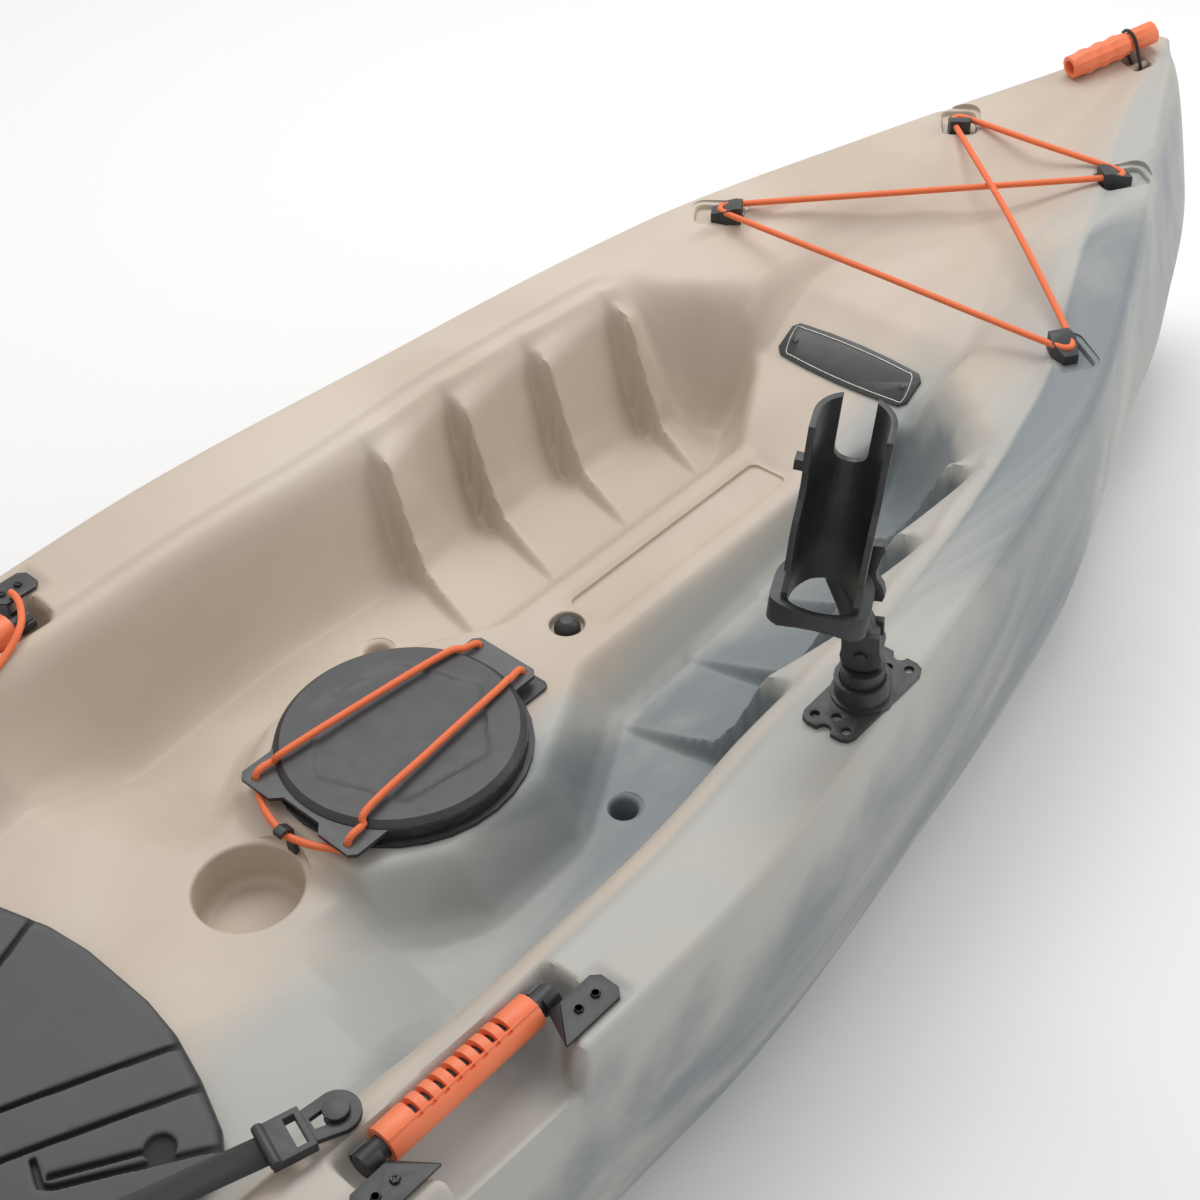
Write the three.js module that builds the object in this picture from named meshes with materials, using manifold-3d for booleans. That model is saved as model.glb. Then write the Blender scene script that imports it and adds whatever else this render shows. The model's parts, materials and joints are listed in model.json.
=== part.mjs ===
// A sit-on-top fishing kayak: one hollow moulded hull and the fittings on its deck.
// Millimetres. +X is the bow, +Y is port, +Z is up. The origin is under mid-length, on the hull bottom.
import * as THREE from 'three';
import { mergeVertices } from 'three/addons/utils/BufferGeometryUtils.js';
import Module from 'manifold-3d';

const wasm = await Module();
wasm.setup();

// Driving dimensions of the hull
const LENGTH = 3048;
const BEAM = 792;
const SHEER_MID = 270;
const SHEER_BOW = 381;
const SHEER_STERN = 304;
const WALL = 6;
const CLEAR = 0.3;
const OVERRUN = 3;
const HALF = LENGTH / 2;

// Levels of the deck above the hull bottom
const level = {
  seatFloor: 165,
  footFloorAft: 118,
  footFloorFore: 150,
  tankFloor: 150,
  aftDeck: 252,
  cupTop: 165,
  consoleTop: 186,
  plateFoot: 231,
  plateHead: 257,
  dishApex: 272,
  channel: 5,
  roll: 25,
  shelf: 28,
};

// Places along the hull, as shares of half the length, from stern (-1) to bow (+1)
const placeShare = {
  tankAftTop: -0.83, tankAftFoot: -0.812, tankForeFoot: -0.455, tankForeTop: -0.437,
  seatBackTop: -0.372, seatBackFoot: -0.335, seatFront: -0.03,
  hatch: 0.164, faceFoot: 0.518, faceBend: 0.5833, faceHead: 0.6135, faceTop: 0.637,
  bulkheadWing: 0.55, dishMid: 0.735, dishFore: 0.83, dishTip: 0.92,
  rodMount: 0.3137, footRest: 0.3064, handle: 0.004, scupperFoot: 0.237, scupperSeat: -0.314,
  scupperTank: -0.63, rodTube: -0.404, drain: -0.885, grip: 0.949, bridge: 0.962,
};
const at = (name) => placeShare[name] * HALF;

// Hull plan and side view, each a list of shares: station along the half length, then the value there
const planShares = [
  [-1, 0.02], [-0.96, 0.105], [-0.92, 0.235], [-0.86, 0.37], [-0.788, 0.505], [-0.656, 0.69],
  [-0.525, 0.835], [-0.394, 0.91], [-0.197, 0.965], [0.131, 0.995], [0.394, 0.877], [0.591, 0.73],
  [0.7874, 0.43], [0.9186, 0.187], [0.975, 0.085], [1, 0.02],
];
const fullnessShares = [
  [-1, 0], [-0.985, 0.065], [-0.93, 0.1], [-0.8, 0.05], [-0.6, 0.012], [0.6, 0.012],
  [0.76, 0.03], [0.87, 0.095], [0.95, 0.112], [0.978, 0.115], [0.99, 0.065], [1, 0],
];
const rockerShares = [
  [-1, 0.76], [-0.985, 0.4], [-0.965, 0.21], [-0.92, 0.1], [-0.8, 0.025], [-0.6, 0],
  [0.6, 0], [0.8, 0.025], [0.92, 0.09], [0.965, 0.19], [0.987, 0.36], [1, 0.76],
];
const gunwaleFlatShares = [
  [-1, 0.004], [-0.86, 0.14], [-0.75, 0.17], [-0.45, 0.2], [-0.1, 0.215], [0.236, 0.21],
  [0.394, 0.147], [0.57, 0.136], [0.64, 0.145], [0.7, 0.16], [0.82, 0.13], [0.92, 0.09], [1, 0.004],
];

// Cup holder, hatch seat, plug and console
const cup = { radius: 48.5, depth: 46, gap: 10.5, floorWall: 4 };
const hatch = {
  lidRadius: 114, mouthRadius: 92, spigotWall: 5, spigot: 16, flange: 4, frameRadius: 119, lip: 10,
  lidEdge: 9,
  dome: 8, lidWall: 3, tabReach: 23, tabHalf: 40, tabThick: 4, bandReach: 13, bandHalf: 75, notchHalf: 32,
  notchDeep: 9, lugReach: 23, lugHalf: 48, gasket: 3, holeFore: 28, holeAft: 60, holeInset: 9,
};
const plug = { recessRadius: 17, recessDepth: 9, stemRadius: 8.7, headRadius: 13, headHeight: 14, stem: 16 };
const consoleHalf = { top: 48, foot: 100, cup: 62, channel: 23, channelLip: 4, face: 104, flare: 44 };
const hatchX = at('hatch');
const cupX = hatchX - hatch.lidRadius - hatch.bandReach - cup.gap - cup.radius;
const plugX = hatchX + hatch.frameRadius + hatch.lugReach + 4.4 * plug.recessRadius;

// Footrest steps moulded in each footwell
const rest = { count: 4, pitch: 108, rise: 8, amplitude: 30, lift: 20, sweep: 34, floorStart: 100 };

// Fittings
const padEye = {
  length: 34, width: 26, height: 20, nose: 16, pocketLength: 54, pocketWidth: 38, pocketDepth: 7, corner: 6,
  pulley: 7.5, cordHeight: 13.7, bowAftShare: 0.638, bowForeShare: 0.822, sternForeShare: 0.455,
  sternAftShare: 0.8,
};
const bungee = { radius: 3.5, room: 0.5, sides: 6 };
const grip = {
  length: 114, radius: 13.5, bore: 8.5, ridge: 1.8, ridges: 3, waistShare: 0.72, waistDeep: 2, waistWide: 7,
  cord: 2.2, bar: 5, pocketWide: 24, pocketLong: 42, pocketShift: 7, pocketDepth: 19, barDrop: 7, side: 17,
  turn: 23,
  rest: 5.5, slopeOver: 34,
};
const plate = { length: 168, ends: 42, middle: 50, thickness: 2.4, corner: 7, rivet: 3.4 };
const mount = {
  fromEdge: 31.3, length: 108, width: 52, thick: 6, corner: 9, collar: 24, collarHeight: 26, post: 19,
  hole: 4.5,
  inset: 10, notch: 7, sunk: 1.5, pitchSpan: 50,
};
const rod = {
  turn: 207, hingeHeight: 60, barrel: 17, tongue: 14, cheek: 6, pin: 5,
  neckWide: 26, neckDeep: 22, neckTop: [-28.5, -24, 108], saddle: [9, 30, 58], saddleAt: -20.9,
  trough: { at: [15, -32, 113], radius: 26, wall: 5, depth: 30, length: 196, lean: 8 },
  ring: { radius: 40, height: 24, depth: 20, arch: 60, bulge: 15 },
  ear: { gap: 13, long: 50, slot: 5, slotLong: 14 },
  lug: { low: 12, tip: 9, high: 14, thick: 8, inset: -6.4 },
  lever: { eye: [3, 101], length: 62, reach: 16, thick: 9, bore: 4.4, pin: 4, room: 5, pinInset: -3.4,
    off: 1.6 },
};
const leverShares = [
  [-0.15, -0.1], [0.6, -0.1], [0.72, 0], [0.62, 0.14], [0.3, 0.3], [0.26, 0.42], [0.52, 0.66], [0.72, 0.8],
  [0.66, 0.87], [-0.06, 0.87], [-0.2, 0.7], [-0.3, 0.42], [-0.44, 0.14], [-0.5, 0],
];
const rimShares = [
  [-2, 0], [0.72, 0], [0.72, 0.15], [0.25, 0.2], [0.25, 0.25], [0.95, 0.3], [1, 0.34], [1, 0.5],
  [0.85, 0.56], [0.3, 0.6], [0.2, 0.66], [0.3, 0.74], [0.62, 0.78], [0.62, 1], [-2, 1],
];
const handle = {
  middle: 4, fromEdge: 61.65, drop: 8.1, gripLength: 150, gripRadius: 15, bore: 9.4, coreRadius: 9,
  coreLength: 192,
  slots: 8, slotWide: 5, slotStep: 12.8, slotLow: 7, slotTurn: 20, ridge: 1.2,
  plateFront: 130, plateBack: 67, plateBend: 92, plateIn: 18, plateOut: 48, thick: 3, sunk: 2.2,
  clasp: 12, claspLong: 14, flap: 2.6, scoopAt: [32, 15], scoopRadius: 54, scoopLong: 214, scoopMid: 65,
  scoopBend: 93,
  screwIn: 33, screws: [114, 96], screwRadius: 4.4, screwHead: 2, shank: 2, shankLong: 9, cross: 1.2,
};
const seat = {
  frontGap: 25.28, sideGap: 7.13, thick: 20, crown: 5, groove: 3, grooveDepth: 5, dishRadius: 13,
  backGap: 62.54, backToPad: 46, backHeight: 320, backIn: 26, backThick: 40, lean: 14, ribs: 4,
  ribStep: 56, lift: 4,
};
// Port half of the seat pad, from its front middle: shares of its length aft and of its half width out
const padEdgeShares = [
  [0, 0], [0, 0.192], [0.018, 0.404], [0.06, 0.635], [0.115, 0.861], [0.16, 0.962], [0.227, 0.99],
  [0.571, 1], [0.934, 0.913], [0.988, 0.846], [1, 0.433], [1, 0],
];
const padGrooveShares = [
  [[-0.033, 0.519], [0.728, 0]], [[0.003, 0.736], [1.054, 0]],
  [[0.106, 0.981], [0.465, 0.615], [0.483, 0.577], [0.453, 0.462]], [[0.245, 0.774], [0.462, 0.563]],
];
const padDishShare = [0.245, 0.774];
const backEdgeShares = [[0, 0.72], [0.03, 0.8], [0.12, 0.9], [0.4, 1], [0.7, 0.98], [0.9, 0.84],
  [0.97, 0.7], [1, 0.5]];
const turnShares = [0.76, 0.84, 0.92];
const strap = {
  width: 25, thick: 2, pinRadius: 5, pinHead: 10, pinHigh: 12, ringOut: 18, ringIn: 8, ringFar: 22,
  ringThick: 5,
  buckleLong: 34, buckleWide: 36, buckleThick: 9, high: 3, backHigh: [125, 215],
  frontPin: [7, 11.46], rearPin: [192, -19.84], boss: 12, bossLong: 34,
};
const paddleCord = {
  radius: 3.5, sides: 8, hook: 8,
  path: [[101, 354, 7], [100.9, 347, 7.6], [98, 336, 6.7], [92, 325, 5.8], [84, 314, 6], [74, 306, 6],
    [62, 301, 6], [50, 297, 6], [37, 293, 6], [24, 287, 6.5], [11, 277.5, 11], [0, 270, 11], [-9, 262, 13],
    [-18, 258, 14], [-27, 262, 14], [-34, 270, 14], [-39, 280, 15], [-42, 290, 17]],
  end: [-42, 300],
};
const flushTube = { radius: 24, bore: 20, flange: 31, lipThick: 4, depth: 110, floor: 5, offsetShare: 0.66,
  sunk: 3 };
const scupper = { radius: 13, footShare: 0.546, seatShare: 0.46, tankShare: 0.45, wall: 6 };
const drainPlug = { stem: 8, head: 14, high: 9, deep: 14, recess: 17, sunk: 5 };

// Materials, with the colours of the photograph
const finish = (color, roughness, metalness = 0) =>
  new THREE.MeshStandardMaterial({ color, roughness, metalness });
const hullPlastic = finish(0xb4ada2, 0.55);
const blackPlastic = finish(0x2a2b2c, 0.5);
const greyPlastic = finish(0x5d5e60, 0.55);
const orangeCord = finish(0xf37b4a, 0.6);
const orangeRubber = finish(0xf8814f, 0.5);
const foam = finish(0x4c4d4f, 0.85);
const webbing = finish(0x242526, 0.8);
const steel = finish(0x3a3b3d, 0.35, 0.8);

const kayak = new THREE.Group();
kayak.name = 'fishing_kayak';

// Table lookups: straight lines between points, or a smooth curve that never overshoots them
function straight(table, x) {
  if (x <= table[0][0]) return table[0][1];
  for (let i = 1; i < table.length; i += 1) {
    const [x0, y0] = table[i - 1];
    const [x1, y1] = table[i];
    if (x <= x1) return y0 + ((y1 - y0) * (x - x0)) / (x1 - x0);
  }
  return table[table.length - 1][1];
}

function smooth(table, x) {
  const last = table.length - 1;
  const t = Math.min(Math.max(x, table[0][0]), table[last][0]);
  let i = 1;
  while (i < last && t > table[i][0]) i += 1;
  const slope = (k) => (table[k][1] - table[k - 1][1]) / (table[k][0] - table[k - 1][0]);
  const tangent = (k) => {
    if (k === 0) return slope(1);
    if (k === last) return slope(last);
    const before = slope(k);
    const after = slope(k + 1);
    return before * after > 0 ? (2 * before * after) / (before + after) : 0;
  };
  const [x0, y0] = table[i - 1];
  const [x1, y1] = table[i];
  const step = x1 - x0;
  const u = (t - x0) / step;
  const rise = u * u * (3 - 2 * u);
  return y0 + (y1 - y0) * rise + step * (u * (1 - u) ** 2 * tangent(i - 1) - u * u * (1 - u) * tangent(i));
}

const ramp = (x, a, b) => Math.min(Math.max((x - a) / (b - a), 0), 1);
const mix = (a, b, t) => a + (b - a) * t;

// The hull's lines. Each line runs from stern to bow; a section joins them from the middle outwards.
const breadth = (x) => (BEAM / 2) * smooth(planShares, x / HALF);
const sheer = (x) => {
  const t = x / HALF;
  const even = (SHEER_BOW + SHEER_STERN) / 2 - SHEER_MID;
  return SHEER_MID + ((SHEER_BOW - SHEER_STERN) / 2) * t + even * t * t;
};
const keel = (x) => SHEER_MID * smooth(rockerShares, x / HALF);
const fullness = (x) => (BEAM / 2) * smooth(fullnessShares, x / HALF);
const gunwale = (x) => Math.max(breadth(x) - (BEAM / 2) * smooth(gunwaleFlatShares, x / HALF), 0);

const seatFrontX = at('seatFront');
const cupAft = cupX - cup.radius - cup.gap / 2;
const cupFore = cupX + cup.radius + cup.gap / 2;
const hatchAft = hatchX - hatch.frameRadius - cup.gap;
const hatchFore = plugX - 2 * plug.recessRadius;
const crownDrop = 6;

// Height of the middle of the deck: wells, seat, console, its sloping face and the bow dish
const middleTable = [
  [-HALF, sheer(-HALF)],
  [at('tankAftTop'), sheer(at('tankAftTop')) - crownDrop],
  [at('tankAftFoot'), level.tankFloor],
  [at('tankForeFoot'), level.tankFloor],
  [at('tankForeTop'), level.aftDeck],
  [at('seatBackTop'), level.aftDeck],
  [at('seatBackFoot'), level.seatFloor],
  [seatFrontX, level.seatFloor],
  [cupAft, level.cupTop],
  [cupFore, level.cupTop],
  [Math.max(hatchAft, cupFore + OVERRUN), level.consoleTop],
  [at('faceFoot'), level.consoleTop],
  [at('faceBend'), level.plateFoot],
  [at('faceHead'), level.plateHead],
  [at('faceTop'), level.dishApex],
  [at('dishMid'), mix(level.dishApex, sheer(at('dishMid')), 0.6)],
  [at('dishFore'), sheer(at('dishFore')) - 3 * crownDrop],
  [at('dishTip'), sheer(at('dishTip')) - crownDrop],
  [HALF, SHEER_BOW],
];
// Height of the floor beside the console
const floorTable = [
  [at('tankForeTop'), level.aftDeck],
  [at('seatBackTop'), level.aftDeck],
  [at('seatBackFoot'), level.seatFloor],
  [0, level.seatFloor],
  [rest.floorStart, level.footFloorAft],
  [at('faceFoot'), level.footFloorFore],
];
const floorLagShares = [0, 0, 0, 0, 0.026, 0.01, -0.004, 0, 0];
const consoleTopTable = [
  [seatFrontX, consoleHalf.channel * 2],
  [cupAft, consoleHalf.cup],
  [cupFore, consoleHalf.cup + cup.gap],
  [hatchX - hatch.lidRadius / 2, hatch.frameRadius],
  [hatchX + hatch.lidRadius / 2, hatch.frameRadius],
  [hatchFore, consoleHalf.top],
  [at('faceFoot'), consoleHalf.top],
  [at('faceBend'), consoleHalf.face],
  [at('faceTop'), consoleHalf.face],
];
const consoleFlareTable = [
  [seatFrontX, consoleHalf.flare],
  [hatchFore, consoleHalf.flare],
  [at('faceBend'), consoleHalf.flare / 2],
  [at('faceTop'), consoleHalf.flare / 2],
];
const channelAft = plugX + 2 * plug.recessRadius - plug.recessRadius / 2;
const inChannel = (x) => ramp(x, channelAft - plug.recessRadius, channelAft)
  * (1 - ramp(x, at('faceFoot') - plug.recessRadius, at('faceFoot')));

// The deck lines: 0 middle, 1 and 2 channel side, 3 console edge, 4 console foot, 5 floor,
// 6 wall foot, 7 roll below the gunwale, 8 inner edge of the gunwale, 9 its outer edge
const spreadShares = [0, 0.1, 0.14, 0.32, 0.52, 0.7, 0.86, 0.96, 1];
const wallFootShares = [
  [-0.83, 0.84], [-0.45, 0.86], [-0.33, 0.72], [-0.05, 0.72], [0.2, 0.79], [0.394, 0.76], [0.53, 0.72],
  [0.65, 0.86],
];
const bulkheadLagShares = [0, 0, 0, 0, 0.018, 0, -0.02, -0.02, 0];

function inFoot(x) {
  const start = at('footRest') - rest.pitch / 2;
  const end = at('footRest') + (rest.count - 0.5) * rest.pitch;
  return ramp(x, start - rest.sweep, start) * (1 - ramp(x, end - rest.sweep, end));
}

// One at each step's face, fading to zero at the next
function sawtooth(x) {
  const t = (x - at('footRest')) / rest.pitch;
  if (t < 0 || t >= rest.count) return 0;
  return 1 - (t - Math.floor(t));
}

const stepShares = [0, 0, 0, 0, 0, 0.35, 1, 0.6, 0];
const sweepShares = [0, 0, 0, 0, 1, 0.65, 0.3, 0.1, 0];

// One point of the deck, without the footrest steps
function deckPoint(line, x) {
  const inner = gunwale(x);
  const edge = sheer(x);
  if (line === 9) return [x, breadth(x), edge];
  if (line === 8) return [x, inner, edge - Math.min(WALL / 2, inner / WALL)];
  const spread = inner * spreadShares[line];
  const mid = straight(middleTable, x);
  const crown = mix(mid, edge, smoothShare(spreadShares[line]));
  const well = x < at('tankForeTop')
    ? ramp(x, at('tankAftTop'), at('tankAftFoot')) * (1 - ramp(x, at('tankForeFoot'), at('tankForeTop')))
    : ramp(x, at('seatBackTop'), at('seatBackFoot'));
  const foot = inner * straight(wallFootShares, x / HALF);
  const topEdge = straight(consoleTopTable, x);
  const console = ramp(x, seatFrontX - consoleHalf.flare, seatFrontX)
    * (1 - ramp(x, at('faceTop'), at('dishMid')));
  const consoleFoot = Math.min(topEdge + straight(consoleFlareTable, x), foot - consoleHalf.channel);
  const consoleY = [0, consoleHalf.channel, consoleHalf.channel + consoleHalf.channelLip, topEdge,
    consoleFoot, (consoleFoot + foot) / 2, foot, inner - level.shelf];
  const deckLevel = x < at('tankForeTop') ? crown : mix(mid, edge, Math.max(spreadShares[line] - 0.7, 0));
  const y = line < 6
    ? mix(spread, consoleY[line], console)
    : mix(spread, consoleY[line], well * (1 - ramp(x, at('bulkheadWing'), at('faceTop'))));
  if (line < 4) {
    const sunk = line < 2 ? level.channel * inChannel(x) : 0;
    const raised = x < at('seatFront') && x > at('tankForeTop') ? deckLevel : mid;
    const dish = ramp(x, at('faceTop'), at('dishMid'));
    return [x, y, mix(well > 0 && x < seatFrontX ? mid : raised, crown, x > 0 ? dish : 1 - well) - sunk];
  }
  const lag = bulkheadLagShares[line] * HALF;
  const closing = ramp(x, at('bulkheadWing') + lag, at('bulkheadWing') + lag + level.roll);
  const openDeck = x > 0 ? mix(level.dishApex, edge, smoothShare(spreadShares[line]) * 0.75) : deckLevel;
  const lifted = mix(openDeck, crown, ramp(x, at('faceTop'), at('dishMid')));
  if (line === 7) {
    const rolled = edge - level.roll;
    return [x, y, mix(mix(crown, rolled, well), x > 0 ? lifted : crown, x > 0 ? closing : 0)];
  }
  const floor = x < at('tankForeTop')
    ? mix(crown, level.tankFloor, well)
    : mix(straight(floorTable, x > seatFrontX ? x - floorLagShares[line] * HALF : x), crown,
      x < at('seatBackFoot') ? 1 - well : 0);
  return [x, y, mix(floor, lifted, x > 0 ? closing : 0)];
}

function smoothShare(t) {
  return t * t * (3 - 2 * t);
}

// The same point with the footrest steps: their faces sweep aft towards the middle
function steppedPoint(line, x) {
  const [, y, z] = deckPoint(line, x);
  if (line > 7) return [x, y, z];
  const tooth = sawtooth(x) * stepShares[line];
  const swept = x - sweepShares[line] * rest.sweep * inFoot(x);
  return [swept, y - rest.amplitude * tooth, z + rest.lift * tooth * (line === 7 ? 0 : 1)];
}

// The outside below the gunwale, lines 10 to 16, down to the keel
const sideHeightShares = [0.965, 0.62, 0.3, 0.13, 0.02, 0, 0];
const sideFullShares = [0.1, 0.75, 1, 0.35, -0.2, 0, 0];
const sideBreadthShares = [1, 1, 1, 0.96, 0.72, 0.4, 0];
function sidePoint(line, x) {
  const k = line - 10;
  const low = keel(x);
  const y = breadth(x) * sideBreadthShares[k] + fullness(x) * sideFullShares[k];
  return [x, Math.max(y, 0), low + (sheer(x) - low) * sideHeightShares[k]];
}

const cavityShare = 0.94;

// Stations: every named place, the steps' faces and even spacing between
function stationList() {
  const tubeReach = flushTube.radius + WALL;
  const spots = [-HALF, HALF, at('rodTube') - tubeReach, at('rodTube') + tubeReach, cupAft, cupFore,
    hatchX, hatchFore, channelAft, channelAft - plug.recessRadius,
    seatFrontX - consoleHalf.flare, seatFrontX, at('bulkheadWing') + level.roll];
  for (const [x] of middleTable) spots.push(x);
  for (const [x] of rockerShares) if (Math.abs(x) > cavityShare) spots.push(x * HALF);
  for (const line of [4, 5, 6]) {
    const wing = at('bulkheadWing') + bulkheadLagShares[line] * HALF;
    spots.push(wing, wing + level.roll);
  }
  for (let k = 0; k <= rest.count; k += 1) {
    const face = at('footRest') + k * rest.pitch;
    spots.push(face - rest.rise, face);
  }
  spots.sort((a, b) => a - b);
  const kept = [];
  for (const x of spots) {
    if (x < -HALF || x > HALF) continue;
    const before = kept[kept.length - 1];
    if (kept.length === 0) kept.push(x);
    else if (x - before >= WALL) {
      const parts = Math.ceil((x - before) / (LENGTH / 28));
      for (let p = 1; p <= parts; p += 1) kept.push(mix(before, x, p / parts));
    }
  }
  kept[kept.length - 1] = HALF;
  return kept;
}

const vector = ([x, y, z]) => new THREE.Vector3(x, y, z);

// A ring round the hull at a station, from the middle of the deck round by port and back by starboard
const everyLine = Array.from({ length: 17 }, (_, line) => line);
const innerLines = [0, 3, 4, 5, 6, 7, 8, 9, 11, 12, 13, 15, 16];
function hullRing(x, lines, deckAt, sideAt) {
  const half = lines.map((line) => (line < 10 ? deckAt(line, x) : sideAt(line, x)));
  const port = half.map(vector);
  const starboard = half.slice(1, -1).reverse().map(([px, py, pz]) => new THREE.Vector3(px, -py, pz));
  return [...port, ...starboard];
}

// The inside of the moulding: the same lines moved in by the wall, clear of every step and well end
const insetShares = [0, 0, 0, -1.8, -2, -0.5, 1, 1, 1, -1];
function innerDeck(line, x) {
  const reach = x > at('faceFoot') ? 2.2 * WALL : WALL;
  const near = [-2, -1, 0, 1, 2].map((step) => deckPoint(line, x + step * reach));
  const z = Math.min(...near.map((point) => point[2]));
  const across = near.map((point) => point[1]);
  const narrow = insetShares[line] < 0 ? Math.min(...across) : Math.max(...across);
  const y = Math.max(narrow + insetShares[line] * WALL, 0);
  const knee = ramp(x, at('faceBend'), at('faceHead')) * (1 - ramp(x, at('faceTop'), at('dishMid')));
  return [x, Math.min(y, breadth(x) - WALL), z - WALL * (1 + 3 * knee) - level.channel * inChannel(x)];
}
function innerSide(line, x) {
  const [, y, z] = sidePoint(line, x);
  const raised = line >= 13 ? z + WALL : z;
  return [x, Math.max(y - WALL * (line < 15 ? 1.2 : 0), 0), Math.min(raised, innerDeck(9, x)[2] - WALL)];
}

// Closed solid through a run of rings with the same number of points
function loft(rings) {
  const count = rings[0].length;
  const positions = rings.flat();
  const index = [];
  for (let r = 0; r + 1 < rings.length; r += 1) {
    for (let k = 0; k < count; k += 1) {
      const a = r * count + k;
      const b = r * count + ((k + 1) % count);
      index.push(a, b, a + count, b, b + count, a + count);
    }
  }
  for (const end of [0, rings.length - 1]) {
    const centre = new THREE.Vector3();
    for (const point of rings[end]) centre.addScaledVector(point, 1 / count);
    positions.push(centre);
    for (let k = 0; k < count; k += 1) {
      const a = end * count + k;
      const b = end * count + ((k + 1) % count);
      if (end === 0) index.push(a, positions.length - 1, b);
      else index.push(b, positions.length - 1, a);
    }
  }
  const geometry = new THREE.BufferGeometry().setFromPoints(positions);
  geometry.setIndex(index);
  return geometry;
}

// Any closed geometry as a solid for cutting and joining; turned right side out if need be
function solid(geometry) {
  const bare = geometry.clone();
  bare.deleteAttribute('normal');
  bare.deleteAttribute('uv');
  const merged = mergeVertices(bare, 1e-4);
  const points = merged.getAttribute('position');
  const index = Array.from(merged.getIndex().array);
  const kept = [];
  for (let i = 0; i < index.length; i += 3) {
    const [a, b, c] = index.slice(i, i + 3);
    if (a !== b && b !== c && c !== a) kept.push(a, b, c);
  }
  let volume = 0;
  const p = (i) => new THREE.Vector3().fromBufferAttribute(points, i);
  for (let i = 0; i < kept.length; i += 3) {
    volume += p(kept[i]).dot(p(kept[i + 1]).cross(p(kept[i + 2])));
  }
  if (volume < 0) kept.reverse();
  const mesh = new wasm.Mesh({
    numProp: 3,
    vertProperties: new Float32Array(points.array),
    triVerts: new Uint32Array(kept),
  });
  mesh.merge();
  return new wasm.Manifold(mesh);
}

function geometryOf(manifold) {
  const mesh = manifold.getMesh();
  const geometry = new THREE.BufferGeometry();
  geometry.setAttribute('position', new THREE.BufferAttribute(new Float32Array(mesh.vertProperties), 3));
  geometry.setIndex(Array.from(mesh.triVerts));
  geometry.computeVertexNormals();
  return geometry;
}

const cut = (base, tools) => tools.reduce((left, tool) => left.subtract(solid(tool)), base);
const join = (base, extras) => extras.reduce((left, extra) => left.add(solid(extra)), base);

function addPiece(name, shape, material, parent = kayak) {
  const geometry = shape.isBufferGeometry ? geometryOf(solid(shape)) : geometryOf(shape);
  const mesh = new THREE.Mesh(geometry, material);
  mesh.name = name;
  parent.add(mesh);
  return mesh;
}

// Basic forms: upright cylinder on its base, turned profile, extruded outline, tube
function drum(radius, height, sides = 24, base = 0) {
  return new THREE.CylinderGeometry(radius, radius, height, sides).rotateX(Math.PI / 2)
    .translate(0, 0, base + height / 2);
}
function turned(profile, sides = 32) {
  const points = profile.map(([r, z]) => new THREE.Vector2(Math.max(r, 0), z));
  return new THREE.LatheGeometry(points, sides).rotateX(Math.PI / 2);
}
function slab(shape, height, base = 0, curveSegments = 3) {
  return new THREE.ExtrudeGeometry(shape, { depth: height, bevelEnabled: false, curveSegments })
    .translate(0, 0, base);
}
function roundedOutline(length, width, corner, steps = 2) {
  const points = [];
  for (const [sx, sy, start] of [[1, 1, 0], [-1, 1, 1], [-1, -1, 2], [1, -1, 3]]) {
    for (let k = 0; k <= steps; k += 1) {
      const angle = (Math.PI / 2) * (start + k / steps);
      points.push(new THREE.Vector2(sx * (length / 2 - corner) + corner * Math.cos(angle),
        sy * (width / 2 - corner) + corner * Math.sin(angle)));
    }
  }
  return new THREE.Shape(points);
}

const stations = stationList();
const outer = solid(loft(stations.map((x) => hullRing(x, everyLine, steppedPoint, sidePoint))));
const plain = (x) => sawtooth(x) === 0 || sawtooth(x) > 2 * rest.rise / rest.pitch;
const innerStations = stations.filter((x) => Math.abs(x) < cavityShare * HALF && plain(x));
const cavity = solid(loft(innerStations.map((x) => hullRing(x, innerLines, innerDeck, innerSide))));

// Height of the deck at any place, and the frame of a fitting that lies on it
function deckHeight(x, y) {
  const across = Math.abs(y);
  for (let line = 1; line <= 9; line += 1) {
    const [, y0, z0] = deckPoint(line - 1, x);
    const [, y1, z1] = deckPoint(line, x);
    if (across <= y1) return mix(z0, z1, ramp(across, y0, Math.max(y1, y0 + CLEAR)));
  }
  return sheer(x);
}
function deckFrame(x, y, yaw, drop, slopeOver = 0) {
  const height = deckHeight(x, y) - drop;
  const rise = slopeOver ? (deckHeight(x + slopeOver, y) - deckHeight(x - slopeOver, y)) / (2 * slopeOver)
    : 0;
  return new THREE.Matrix4().makeTranslation(x, y, height)
    .multiply(new THREE.Matrix4().makeRotationY(-Math.atan(rise)))
    .multiply(new THREE.Matrix4().makeRotationZ(yaw));
}
const moved = (geometry, frame) => geometry.clone().applyMatrix4(frame);
const polygon = (corners) => new THREE.Shape(corners.map(([x, y]) => new THREE.Vector2(x, y)));

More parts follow.
